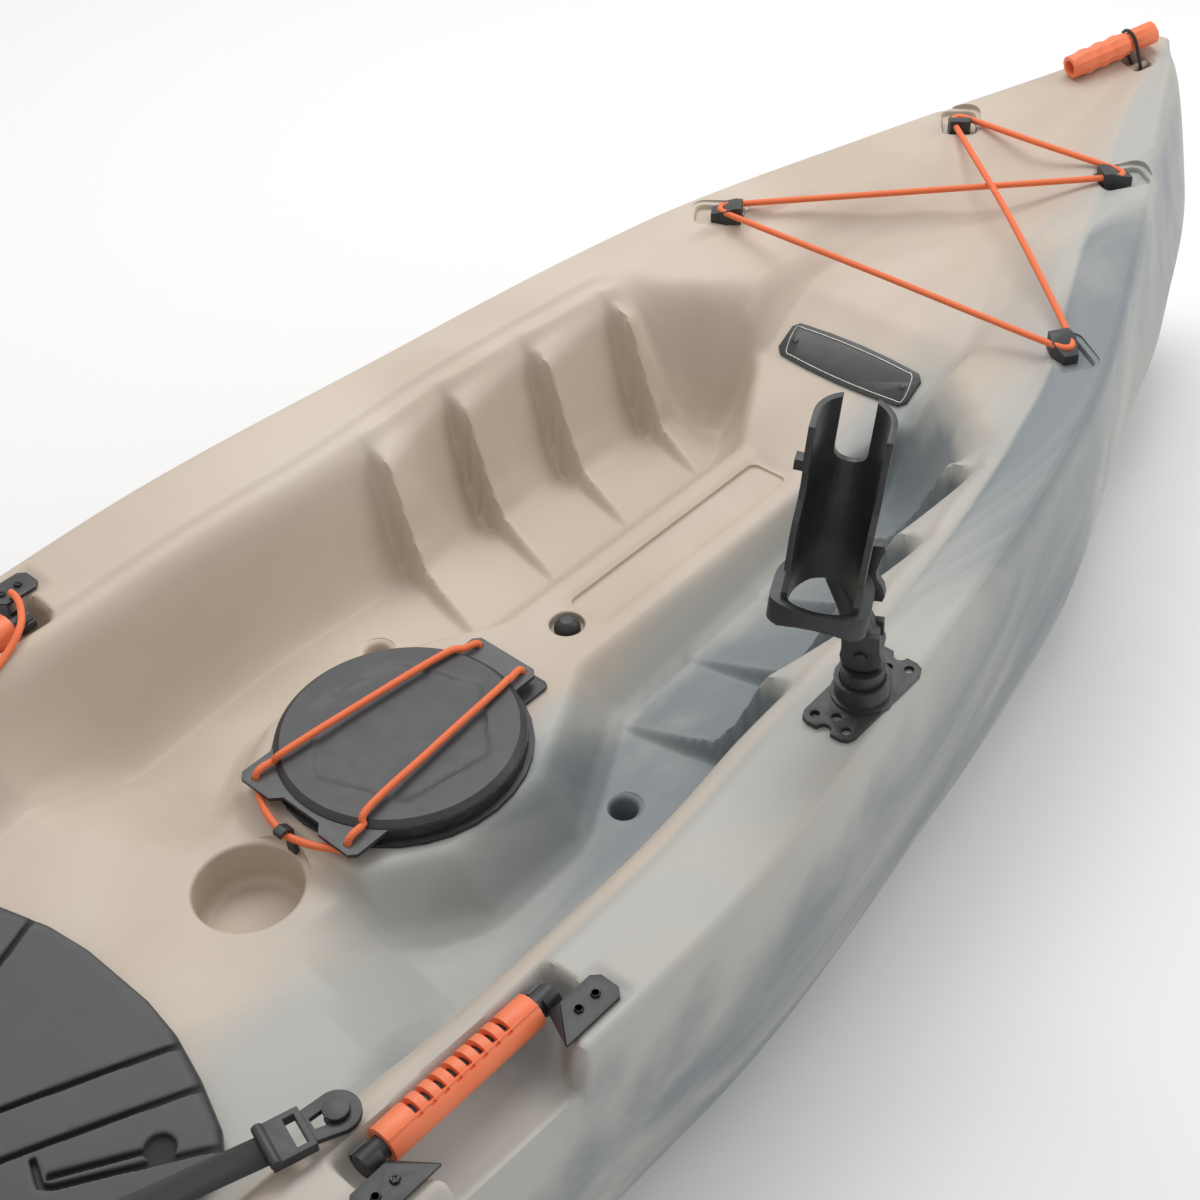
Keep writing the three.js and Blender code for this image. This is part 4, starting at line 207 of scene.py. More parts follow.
def groove_material(name, shade, painted_groove_shade, roughness):
    """Pressed foam or fabric face; the 'groove' attribute paints shade into its channels."""
    m = Nodes(name, roughness)
    fibre = m.noise(2600.0, 2.0, 0.7)
    face = m.mix(m.smooth(fibre, 0.3, 0.7), times(shade, 0.86), times(shade, 1.1))
    # Painted shade: the foam's channels are mixed towards a near-black colour
    m.colour(m.mix(m.attribute("groove_shade"), face, painted_groove_shade))
    m.rough(m.noise(50.0, 3.0, 0.5), roughness - 0.06, roughness + 0.08)
    m.bump(fibre, 0.00012)
    m.shader.inputs["Sheen Weight"].default_value = 0.15
    return m.material


def webbing_material(name, shade):
    """Flat woven strap with fine ribs on the slant."""
    m = Nodes(name, 0.82)
    weave = [("wave_type", "BANDS"), ("bands_direction", "DIAGONAL"), ("Scale", 700.0), ("Distortion", 0.6),
             ("Detail", 1.0)]
    ribs = m.add("ShaderNodeTexWave", weave, Vector=m.place).outputs[0]
    m.colour(m.mix(ribs, times(shade, 0.6), times(shade, 1.6)))
    m.bump(ribs, 0.0003)
    m.shader.inputs["Sheen Weight"].default_value = 0.2
    return m.material


BRAID_TURNS = 330.0


def cord_material(name, shade):
    """Braided shock cord: two bands wind round it both ways, by its 'along' and 'round' attributes."""
    m = Nodes(name, 0.62)
    along, around = m.math("MULTIPLY", m.attribute("along"), BRAID_TURNS), m.attribute("round")
    bands = [m.math("SINE", m.math("MULTIPLY", m.math(way, along, around), math.tau))
             for way in ("ADD", "SUBTRACT")]
    braid = m.math("MAXIMUM", *bands)
    m.colour(m.mix(m.smooth(braid, -0.2, 0.9), times(shade, 0.86), shade))
    m.bump(braid, 0.0001, 0.6)
    return m.material


MAT = {
    "hull_plastic": hull_material(),
    "black_plastic": moulded("black_nylon", lin(38, 39, 40), 0.42),
    "grey_plastic": moulded("grey_plastic", lin(88, 88, 89), 0.5),
    "gasket_rubber": moulded("seal_rubber", lin(26, 26, 27), 0.7),
    "orange_cord": cord_material("orange_shock_cord", lin(246, 122, 72)),
    "orange_rubber": moulded("orange_grip", lin(244, 124, 78), 0.42, 900.0, 0.0001, (1, 0.8, 0.5)),
    # The foam's colour, then the painted shade of its channels
    "seat_foam": groove_material("seat_foam", lin(85, 85, 86), lin(22, 22, 23), 0.72),
    "webbing": webbing_material("black_webbing", lin(34, 34, 35)),
    "screw_steel": moulded("black_screw", lin(46, 46, 48), 0.3, 400.0, 0.00003),
    "lid_grey": moulded("lid_grey", lin(62, 62, 64), 0.46, 1100.0, 0.00005),
    "plate_face": moulded("plate_black", lin(30, 31, 32), 0.36, 900.0, 0.00003),
    "plate_rim": moulded("plate_rim", lin(176, 175, 170), 0.28, 600.0, 0.00003),
}
for metal, amount in (("plate_rim", 0.8), ("screw_steel", 0.7)):
    MAT[metal].node_tree.nodes["Principled BSDF"].inputs["Metallic"].default_value = amount


# Mesh helpers
def mesh_object(name, verts, faces, material, smooth_angle=35.0):
    mesh = bpy.data.meshes.new(name)
    mesh.from_pydata([tuple(v) for v in verts], [], [tuple(f) for f in faces])
    mesh.update()
    mesh.materials.append(material)
    obj = linked(name, mesh)
    shade(obj, smooth_angle)
    return obj


def bake(obj):
    """Apply an object's modifiers to its mesh."""
    graph = bpy.context.evaluated_depsgraph_get()
    mesh = bpy.data.meshes.new_from_object(obj.evaluated_get(graph), depsgraph=graph)
    obj.modifiers.clear()
    obj.data = mesh


def coordinates(obj):
    flat = np.empty(len(obj.data.vertices) * 3, np.float32)
    obj.data.vertices.foreach_get("co", flat)
    return flat.reshape(-1, 3)


def finish(obj, material, smooth_angle):
    obj.data.materials.clear()
    obj.data.materials.append(material)
    shade(obj, smooth_angle)


def shade(obj, angle):
    mesh = obj.data
    mesh.polygons.foreach_set("use_smooth", [True] * len(mesh.polygons))
    mesh.set_sharp_from_angle(angle=math.radians(angle))


def ride(piece, node):
    """A piece that moves with a CAD node."""
    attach(piece, BODY[node])


def place(obj, node):
    """Hand a finished piece to its body, in place of its CAD node."""
    ride(obj, node)
    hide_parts(node)
    return obj


def attribute(obj, name, values):
    layer = obj.data.attributes.new(name, "FLOAT", "POINT")
    layer.data.foreach_set("value", np.asarray(values, np.float32))


def fix_normals(obj):
    work = bmesh.new()
    work.from_mesh(obj.data)
    bmesh.ops.recalc_face_normals(work, faces=work.faces)
    work.to_mesh(obj.data)
    work.free()


def ring_faces(rows, cols):
    """Faces between closed rings of points."""
    return [(r * cols + c, r * cols + (c + 1) % cols, (r + 1) * cols + (c + 1) % cols, (r + 1) * cols + c)
            for r in range(rows - 1) for c in range(cols)]


def turns(count):
    return [math.tau * k / count for k in range(count)]


def lathe(profile, sides, x, y):
    """Points and faces of a closed turned solid at x, y; the profile runs from foot to top."""
    points = [(x, y, profile[0][1])]
    for r, z in profile:
        points += [(x + r * math.cos(a), y + r * math.sin(a), z) for a in turns(sides)]
    points.append((x, y, profile[-1][1]))
    tip = len(points) - 1
    rim = tip - sides
    faces = [(0, 1 + (k + 1) % sides, 1 + k) for k in range(sides)]
    faces += [tuple(v + 1 for v in face) for face in ring_faces(len(profile), sides)]
    faces += [(rim + k, rim + (k + 1) % sides, tip) for k in range(sides)]
    return points, faces


WELD = 2e-6
FLAT_TURN, SHARP_TURN = math.radians(1.5), math.radians(38)


def dress(node, material=None, bevel=0.0006):
    """A CAD node's own shape with softened edges and a finished material."""
    obj = linked(node + "_finish", NODES[node].data.copy())
    work = bmesh.new()
    work.from_mesh(obj.data)
    bmesh.ops.remove_doubles(work, verts=work.verts, dist=WELD)
    bmesh.ops.dissolve_limit(work, angle_limit=FLAT_TURN, verts=work.verts, edges=work.edges)
    edges = [e for e in work.edges if e.is_manifold and e.calc_face_angle(0) > SHARP_TURN]
    bmesh.ops.bevel(work, geom=edges, offset=bevel, segments=2, profile=0.6, affect="EDGES",
                    clamp_overlap=True)
    work.to_mesh(obj.data)
    work.free()
    finish(obj, material or MAT[SLOT[node]], 32)
    return place(obj, node)


END_BULGE = 0.3


def tube(name, points, radius, sides=14, closed=False, material=None, per=0.006):
    """A round cord along a smooth line through the points, with 'along' and 'round' for its braid."""
    line = resample(np.array(points, float), per, closed)
    count = len(line)
    if closed:
        tangent = np.roll(line, -1, 0) - np.roll(line, 1, 0)
    else:
        tangent = np.gradient(line, axis=0)
    tangent /= np.linalg.norm(tangent, axis=1)[:, None]
    normal = np.zeros_like(line)
    seed = np.array((0, 0, 1.0)) if abs(tangent[0][2]) < 0.8 else np.array((1.0, 0, 0))
    for i in range(count):
        seed = seed - tangent[i] * seed.dot(tangent[i])
        seed /= np.linalg.norm(seed)
        normal[i] = seed
    if closed:
        back = normal[-1] - tangent[0] * normal[-1].dot(tangent[0])
        back /= np.linalg.norm(back)
        twist = math.atan2(np.cross(back, normal[0]).dot(tangent[0]), back.dot(normal[0]))
    else:
        twist = 0.0
    steps = np.linalg.norm(np.diff(line, axis=0), axis=1)
    run = np.concatenate([[0], np.cumsum(steps)])
    verts, along, around = [], [], []
    for i in range(count):
        side = np.cross(tangent[i], normal[i])
        for k, turn in enumerate(turns(sides)):
            a = turn + twist * i / count
            verts.append(line[i] + radius * (math.cos(a) * normal[i] + math.sin(a) * side))
            along.append(run[i])
            around.append(min(k, sides - k) * 2 / sides)
    faces = ring_faces(count, sides)
    if closed:
        last = (count - 1) * sides
        faces += [(last + k, last + (k + 1) % sides, (k + 1) % sides, k) for k in range(sides)]
    else:
        for spot, way, base in ((0, -1, 0), (-1, 1, (count - 1) * sides)):
            tip = len(verts)
            verts.append(line[spot] + way * tangent[spot] * radius * END_BULGE)
            along.append(run[spot])
            around.append(0)
            for k in range(sides):
                pair = (base + k, base + (k + 1) % sides)
                faces.append((tip, *pair[::way]))
    obj = mesh_object(name, verts, faces, material or MAT["orange_cord"], 60)
    attribute(obj, "along", along)
    attribute(obj, "round", around)
    fix_normals(obj)
    return obj, line


def between(u, start, end, a, b):
    return (end - u) / (end - start) * a + (u - start) / (end - start) * b


def resample(points, per, closed):
    """Even steps along a centripetal Catmull-Rom line."""
    p = np.vstack([points[-1], points, points[:2]]) if closed else np.vstack(
        [2 * points[0] - points[1], points, 2 * points[-1] - points[-2]])
    out = []
    for i in range(1, len(p) - 2):
        lengths = [np.linalg.norm(p[i + k] - p[i + k - 1]) for k in range(3)]
        t = [0.0]
        for length in lengths:
            t.append(t[-1] + max(length, 1e-9) ** 0.5)
        n = max(2, int(lengths[1] / (per / 4)) + 1)
        for u in np.linspace(t[1], t[2], n, endpoint=False):
            ab, bc, cd = (between(u, t[k], t[k + 1], p[i + k - 1], p[i + k]) for k in range(3))
            early, late = between(u, t[0], t[2], ab, bc), between(u, t[1], t[3], bc, cd)
            out.append(between(u, t[1], t[2], early, late))
    if not closed:
        out.append(points[-1])
    out = np.array(out)
    loop = np.vstack([out, out[:1]]) if closed else out
    run = np.concatenate([[0], np.cumsum(np.linalg.norm(np.diff(loop, axis=0), axis=1))])
    count = max(4, int(round(run[-1] / per)))
    wanted = np.linspace(0, run[-1], count, endpoint=not closed)
    return np.stack([np.interp(wanted, run, loop[:, k]) for k in range(3)], axis=1)


# Lines of the hull, mm, as in the solid model; each table has shares of the half length and values
HALF, BEAM, WALL = 1524.0, 792.0, 6.0
SHEER_MID, SHEER_BOW, SHEER_STERN = 270.0, 381.0, 304.0
PLAN = [(-1, 0.02), (-0.96, 0.105), (-0.92, 0.235), (-0.86, 0.37), (-0.788, 0.505), (-0.656, 0.69),
        (-0.525, 0.835), (-0.394, 0.91), (-0.197, 0.965), (0.131, 0.995), (0.394, 0.877), (0.591, 0.73),
        (0.7874, 0.43), (0.9186, 0.187), (0.975, 0.085), (1, 0.02)]
FULL = [(-1, 0), (-0.985, 0.065), (-0.93, 0.1), (-0.8, 0.05), (-0.6, 0.012), (0.6, 0.012), (0.76, 0.03),
        (0.87, 0.095), (0.95, 0.112), (0.978, 0.115), (0.99, 0.065), (1, 0)]
ROCKER = [(-1, 0.76), (-0.985, 0.4), (-0.965, 0.21), (-0.92, 0.1), (-0.8, 0.025), (-0.6, 0), (0.6, 0),
          (0.8, 0.025), (0.92, 0.09), (0.965, 0.19), (0.987, 0.36), (1, 0.76)]
FLAT = [(-1, 0.004), (-0.86, 0.14), (-0.75, 0.17), (-0.45, 0.2), (-0.1, 0.215), (0.236, 0.21),
        (0.394, 0.147), (0.57, 0.136), (0.64, 0.145), (0.7, 0.16), (0.82, 0.13), (0.92, 0.09), (1, 0.004)]
AT = {spot: share * HALF for spot, share in dict(
    tankAftTop=-0.83, tankAftFoot=-0.812, tankForeFoot=-0.455, tankForeTop=-0.437, seatBackTop=-0.372,
    seatBackFoot=-0.335, seatFront=-0.03, faceFoot=0.518, faceBend=0.5833, faceHead=0.6135, faceTop=0.637,
    bulkheadWing=0.55, dishMid=0.735, dishFore=0.83, dishTip=0.92, footRest=0.3064, scupperFoot=0.237,
    scupperSeat=-0.314, scupperTank=-0.63, rodTube=-0.404, drain=-0.885, bridge=0.962).items()}
# Heights of the deck's floors and flats
TANK, SHELF, SEAT, WELL, WELL_FORE = 150, 252, 165, 118, 150
CONSOLE, FACE_BEND, FACE_HEAD, FOREDECK = 186, 231, 257, 272
END_DROP, DISH_DROP = 6, 18
CUP_X, CUP_R, CUP_DEEP, CUP_EDGE = 63.936, 48.5, 46, 5.25
HATCH_X, HATCH_R, HATCH_ROOM, MOUTH_R = 249.936, 119, 10.5, 92
PLUG_X, PLUG_R, PLUG_DEEP, PLUG_STEM = 466.736, 17, 9, 8.7


def smooth_table(table, x):
    t = np.array(table, float)
    xs, ys = t[:, 0], t[:, 1]
    slope = np.diff(ys) / np.diff(xs)
    tangent = np.concatenate([[slope[0]], np.zeros(len(xs) - 2), [slope[-1]]])
    both = slope[:-1] * slope[1:]
    tangent[1:-1] = np.where(both > 0, 2 * both / np.where(both > 0, slope[:-1] + slope[1:], 1), 0)
    x = np.clip(x, xs[0], xs[-1])
    i = np.clip(np.searchsorted(xs, x, side="left"), 1, len(xs) - 1)
    step = xs[i] - xs[i - 1]
    u = (x - xs[i - 1]) / step
    return ys[i - 1] + (ys[i] - ys[i - 1]) * u * u * (3 - 2 * u) + step * (
        u * (1 - u) ** 2 * tangent[i - 1] - u * u * (1 - u) * tangent[i])


def table(points, x):
    return np.interp(x, [p[0] for p in points], [p[1] for p in points])


def ramp(x, a, b):
    return np.clip((x - a) / (b - a), 0, 1)


def mix(a, b, t):
    return a + (b - a) * t


def ease(t):
    return t * t * (3 - 2 * t)


def breadth(x):
    return BEAM / 2 * smooth_table(PLAN, x / HALF)


def sheer(x):
    t = x / HALF
    rise, lift = (SHEER_BOW - SHEER_STERN) / 2, (SHEER_BOW + SHEER_STERN) / 2 - SHEER_MID
    return SHEER_MID + rise * t + lift * t * t


def gunwale(x):
    return np.maximum(breadth(x) - BEAM / 2 * smooth_table(FLAT, x / HALF), 0)


SEAT_X = AT["seatFront"]
CUP_AFT, CUP_FORE = CUP_X - CUP_R - CUP_EDGE, CUP_X + CUP_R + CUP_EDGE
CONSOLE_AFT = max(HATCH_X - HATCH_R - HATCH_ROOM, CUP_FORE + 3)
CONSOLE_FORE = PLUG_X - 2 * PLUG_R
CHANNEL_AFT, CHANNEL_DEEP = PLUG_X + 1.5 * PLUG_R, 5
# Heights along the middle of the deck, and of the seat's and the footwells' floor
MIDDLE = [(-HALF, sheer(-HALF)), (AT["tankAftTop"], sheer(AT["tankAftTop"]) - END_DROP),
          (AT["tankAftFoot"], TANK), (AT["tankForeFoot"], TANK), (AT["tankForeTop"], SHELF),
          (AT["seatBackTop"], SHELF), (AT["seatBackFoot"], SEAT), (SEAT_X, SEAT), (CUP_AFT, SEAT),
          (CUP_FORE, SEAT), (CONSOLE_AFT, CONSOLE), (AT["faceFoot"], CONSOLE), (AT["faceBend"], FACE_BEND),
          (AT["faceHead"], FACE_HEAD), (AT["faceTop"], FOREDECK),
          (AT["dishMid"], mix(FOREDECK, sheer(AT["dishMid"]), 0.6)),
          (AT["dishFore"], sheer(AT["dishFore"]) - DISH_DROP),
          (AT["dishTip"], sheer(AT["dishTip"]) - END_DROP), (HALF, SHEER_BOW)]
FLOOR = [(AT["tankForeTop"], SHELF), (AT["seatBackTop"], SHELF), (AT["seatBackFoot"], SEAT), (0, SEAT),
         (100, WELL), (AT["faceFoot"], WELL_FORE)]
FLOOR_LAG = [0, 0, 0, 0, 0.026, 0.01, -0.004]
# Half breadth of the console's top, and how far its foot stands out from it
TOP_EDGE = [(SEAT_X, 46), (CUP_AFT, 62), (CUP_FORE, 72.5), (HATCH_X - 55, HATCH_R), (HATCH_X + 55, HATCH_R),
            (CONSOLE_FORE, 48), (AT["faceFoot"], 48), (AT["faceBend"], 104), (AT["faceTop"], 104)]
FLARE = [(SEAT_X, 44), (CONSOLE_FORE, 44), (AT["faceBend"], 22), (AT["faceTop"], 22)]
# Ten lines run along the deck; all but the outer two lie at these shares of the half breadth
SPREAD = [0, 0.1, 0.14, 0.32, 0.52, 0.7, 0.86, 0.96]
FOOT = [(-0.83, 0.84), (-0.45, 0.86), (-0.33, 0.72), (-0.05, 0.72), (0.2, 0.79), (0.394, 0.76), (0.53, 0.72),
        (0.65, 0.86)]
BULK_LAG = [0, 0, 0, 0, 0.018, 0, -0.02, -0.02]
INNER_LINE, SECOND_LINE, LIP_WIDE, LIP_DROP, BULK_LONG = 23, 27, 28, 25, 25


def in_channel(x):
    return ramp(x, CHANNEL_AFT - 6, CHANNEL_AFT) * (1 - ramp(x, AT["faceFoot"] - 8, AT["faceFoot"]))


def deck_line(line, x):
    """Half breadth and height of one line of the deck at the stations x."""
    inner, edge = gunwale(x), sheer(x)
    if line == 9:
        return breadth(x), edge
    if line == 8:
        return inner, edge - np.minimum(WALL / 2, inner / WALL)
    fore, aft, tank = x > 0, x < AT["seatBackFoot"], x < AT["tankForeTop"]
    mid = table(MIDDLE, x)
    crown = mix(mid, edge, ease(SPREAD[line]))
    before_tank = 1 - ramp(x, AT["tankForeFoot"], AT["tankForeTop"])
    well = np.where(tank, ramp(x, AT["tankAftTop"], AT["tankAftFoot"]) * before_tank,
                    ramp(x, AT["seatBackTop"], AT["seatBackFoot"]))
    foot = inner * table(FOOT, x / HALF)
    top_edge = table(TOP_EDGE, x)
    console = ramp(x, SEAT_X - 44, SEAT_X) * (1 - ramp(x, AT["faceTop"], AT["dishMid"]))
    console_foot = np.minimum(top_edge + table(FLARE, x), foot - INNER_LINE)
    console_y = [0 * x, INNER_LINE + 0 * x, SECOND_LINE + 0 * x, top_edge, console_foot,
                 (console_foot + foot) / 2, foot, inner - LIP_WIDE][line]
    deck = np.where(tank, crown, mix(mid, edge, max(SPREAD[line] - 0.7, 0)))
    moulded_in = console if line < 6 else well * (1 - ramp(x, AT["bulkheadWing"], AT["faceTop"]))
    y = mix(inner * SPREAD[line], console_y, moulded_in)
    dish = ramp(x, AT["faceTop"], AT["dishMid"])
    if line < 4:
        sunk = (CHANNEL_DEEP if line < 2 else 0) * in_channel(x)
        raised = np.where((x < SEAT_X) & (x > AT["tankForeTop"]), deck, mid)
        level = np.where((well > 0) & (x < SEAT_X), mid, raised)
        return y, mix(level, crown, np.where(fore, dish, 1 - well)) - sunk
    closing_from = AT["bulkheadWing"] + BULK_LAG[line] * HALF
    closing = np.where(fore, ramp(x, closing_from, closing_from + BULK_LONG), 0)
    open_deck = np.where(fore, mix(FOREDECK, edge, ease(SPREAD[line]) * 0.75), deck)
    lifted = mix(open_deck, crown, dish)
    if line == 7:
        return y, mix(mix(crown, edge - LIP_DROP, well), np.where(fore, lifted, crown), closing)
    lagging = table(FLOOR, np.where(x > SEAT_X, x - FLOOR_LAG[line] * HALF, x))
    floor = np.where(tank, mix(crown, TANK, well), mix(lagging, crown, np.where(aft, 1 - well, 0)))
    return y, mix(floor, lifted, closing)


def solid_height(x, y):
    """Height of the solid model's deck at one place, between its ten lines."""
    ys, zs = np.array([deck_line(line, np.array([x])) for line in range(10)])[:, :, 0].T
    return float(np.interp(abs(y), ys, zs))


# Pad-eyes, laces and grip bars, mm
EYE_POCKET = dict(length=54, width=38, corner=9, depth=7, flare=3.5)
EYE_SHIFT = -8
EYE_INSET, CORD_HIGH, EYE_RADIUS, CORD_OVER = 6.5, 13.7, 7.5, 9
LACINGS = {"bow": (0.638 * HALF, 0.822 * HALF), "tank": (-0.8 * HALF, -0.455 * HALF)}
BAR_DROP, BAR_RADIUS, BAR_REACH, SLOPE_OVER, GRIP_TURN = 7, 5, 15, 34, 23


def pad_eyes(aft_x, fore_x):
    """Frames of a lacing's four pad-eyes, on their pockets' floors, turned to its middle."""
    frames = []
    for x in (aft_x, fore_x):
        for side in (1, -1):
            y = side * (float(gunwale(x)) + EYE_INSET)
            yaw = math.atan2(-y, (aft_x + fore_x) / 2 - x)
            foot = (x, y, solid_height(x, y) - EYE_POCKET["depth"])
            frames.append(Matrix.Translation(foot) @ Matrix.Rotation(yaw, 4, "Z"))
    return frames


def lacing(frames):
    """A closed cord round the four pad-eyes, which crosses itself between the pairs."""
    spots = [np.array(frame_at @ Vector((0, 0, CORD_HIGH))) for frame_at in frames]
    ways, bows = (1, 1, -1, -1), (0, CORD_OVER, 0, 0)
    headings = []
    for i in range(4):
        step = spots[(i + 1) % 4] - spots[i]
        bend = math.asin(EYE_RADIUS * (ways[i] - ways[(i + 1) % 4]) / math.hypot(step[0], step[1]))
        headings.append(math.atan2(step[1], step[0]) + bend)

    def beside(i, heading):
        return spots[i] + EYE_RADIUS * ways[i] * np.array((math.sin(heading), -math.cos(heading), 0))

    points = []
    for i in range(4):
        sweep = (headings[i] - headings[i - 1]) * ways[i] % math.tau * ways[i]
        points += [beside(i, headings[i - 1] + sweep * k / 4) for k in range(5)]
        points.append((points[-1] + beside((i + 1) % 4, headings[i])) / 2 + np.array((0, 0, bows[i])))
    return points


def grip_frame(end, yaw):
    """A frame on the deck over the grip bar of the bow, 1, or of the stern, -1."""
    x = end * AT["bridge"]
    slope = (solid_height(x + SLOPE_OVER, 0) - solid_height(x - SLOPE_OVER, 0)) / (2 * SLOPE_OVER)
    tilt = Matrix.Rotation(-math.atan(slope), 4, "Y")
    return Matrix.Translation((x, 0, solid_height(x, 0))) @ tilt @ Matrix.Rotation(math.radians(yaw), 4, "Z")


EYES = {name: pad_eyes(*pair) for name, pair in LACINGS.items()}
GRIPS = (grip_frame(1, -GRIP_TURN), grip_frame(-1, 180 - GRIP_TURN))


# Cords; the routes that aren't worked out are points in mm
KEEPER = np.array([
    [101, 354, 278.5], [100.9, 347, 278.8], [98, 336, 277.4], [92, 325, 276], [84, 314, 275.5],
    [74, 306, 273.3], [62, 301, 269.2], [50, 297, 265.9], [37, 293, 262.6], [24, 287, 258.3],
    [11, 277.5, 254], [0, 270, 242.7], [-9, 262, 233.6], [-18, 258, 229.1], [-27, 262, 235.4],
    [-34, 270, 247.1], [-39, 280, 261], [-42, 290, 270.8], [-42, 300, 276], [-42, 303.5, 276]]) * MM
CORD_STEP = 0.004
keeper, keeper_line = tube("paddle_keeper_cord", KEEPER, 3.5 * MM, per=CORD_STEP)
place(keeper, "paddle_cord")
hook = dress("paddle_hook")

# Port half of the hatch's lace, from its end by the hinge, over the lid, to the hook behind it
LID_LACE = [
    [377.9, 28, 198.6], [377.9, 28, 204.3], [376.2, 28, 208.4], [369.5, 29, 210.5], [360, 31, 211.1],
    [353.5, 33, 214.3], [345.9, 35, 215.4], [249.9, 45, 217.6], [153.9, 55.5, 215], [152.9, 58.1, 210.5],
    [140.3, 59.7, 210.5], [133.7, 60, 208.4], [131.9, 60, 204.3], [131.9, 60, 198.6], [129.1, 57.2, 195.3],
    [124.9, 49.5, 196.2], [115.8, 30, 194.5], [110.2, 5.6, 192.7]]
HOOK_BEND = [109.1, 0, 192.7]
lace_routes = {f"{name}_bungee": lacing(frames) for name, frames in EYES.items()}
lace_routes["hatch_bungee"] = [*LID_LACE, HOOK_BEND, *([x, -y, z] for x, y, z in LID_LACE[::-1])]
for node, route in lace_routes.items():
    closed = node != "hatch_bungee"
    lace, _ = tube(node + "_braid", np.array(route) * MM, 3.45 * MM, closed=closed, per=CORD_STEP)
    place(lace, node)


# The hull's deck as a grid of heights, mm
def blurred(grid, sigma, axis):
    n = int(3 * sigma) + 1
    k = np.exp(-0.5 * (np.arange(-n, n + 1) / sigma) ** 2)
    k /= k.sum()
    pad = [(n, n) if a == axis else (0, 0) for a in (0, 1)]
    wide = np.pad(grid, pad, mode="edge")
    out = np.zeros_like(grid)
    for i, w in enumerate(k):
        out += w * (wide[i:i + grid.shape[0]] if axis == 0 else wide[:, i:i + grid.shape[1]])
    return out


def soften(grid, sigma):
    """Blur both ways; the middle of the deck is mirrored so that it stays level there."""
    n = int(3 * sigma) + 2
    mirrored = np.hstack([grid[:, n:0:-1], grid])
    return blurred(blurred(mirrored, sigma, 0), sigma, 1)[:, n:]


STEP = 2.5
GX = np.arange(-HALF, HALF + STEP, STEP)
GY = np.arange(0, 405 + STEP, STEP)
# Scoops under the side handles, as wide as SCOOP_END says, and the seats of the handles' plates
HANDLE_X, SCOOP_Y, SCOOP_Z, SCOOP_R = 4, 362, 277, 54
SCOOP_END = [(0, 430), (65, 430), (65.5, 378), (93, 347.7), (107, 345), (107.5, 0), (999, 0)]
PLATE_OFF, PLATE_Y, PLATE_LONG, PLATE_WIDE, PLATE_LOW = 94.5, 363, 36, 19, 269.6
# Foot rests: their pitch, count, lean along the hull, depth, rise and the height free above them
REST_PITCH, REST_COUNT, REST_LEAN, REST_DEEP, REST_RISE, REST_UNDER = 108.0, 4, 34, 32, 23, 12


def lip(x, y):
    """The groove inside the gunwale and the rounded lip below it, beside the cockpit."""
    inside, wing = y - gunwale(x), AT["bulkheadWing"]
    along = ramp(x, AT["seatBackTop"], AT["seatBackFoot"]) * (1 - ramp(x, wing - 40, wing + 30))
    return along * (3.4 * np.exp(-((inside + 17) / 7.5) ** 2) - 2.6 * np.exp(-((inside + 2) / 4.5) ** 2))


def foot_rests(base, edge, ys):
    """The wall steps inwards at each foot rest's face and runs back to nothing at the next."""
    def spread(share, rows):
        return np.array([np.interp(rows[i], ys[:, i], share) for i in range(len(GX))])

    start = AT["footRest"]
    begin, end = start - REST_PITCH / 2, start + (REST_COUNT - 0.5) * REST_PITCH
    inside = ramp(GX, begin - REST_LEAN, begin) * (1 - ramp(GX, end - REST_LEAN, end))
    calm = 1 - ramp(GX, AT["bulkheadWing"] - 34, AT["bulkheadWing"] - 12)
    target = np.repeat(GY[None, :], len(GX), 0)
    y0 = target
    for _ in range(4):
        sweep = spread([0, 0, 0, 0, 1, 0.65, 0.3, 0.1, 0, 0], y0)
        t = (GX[:, None] + sweep * REST_LEAN * inside[:, None] - start) / REST_PITCH
        tooth = np.where((t >= 0) & (t < REST_COUNT), 1 - (t - np.floor(t)), 0) * calm[:, None]
        y0 = target + REST_DEEP * tooth * spread([0, 0, 0, 0, 0, 0.35, 1, 0.86, 0, 0], y0)
    lift = REST_RISE * tooth * spread([0, 0, 0, 0, 0.05, 0.55, 1, 0, 0, 0], y0)
    stepped = np.array([np.interp(y0[i], GY, base[i]) for i in range(len(GX))]) + lift
    stepped = np.minimum(stepped, np.maximum(base, edge - REST_UNDER))
    there = (GX > start - 60) & (GX < AT["faceTop"] + 40)
    return np.where(there[:, None], stepped, base)


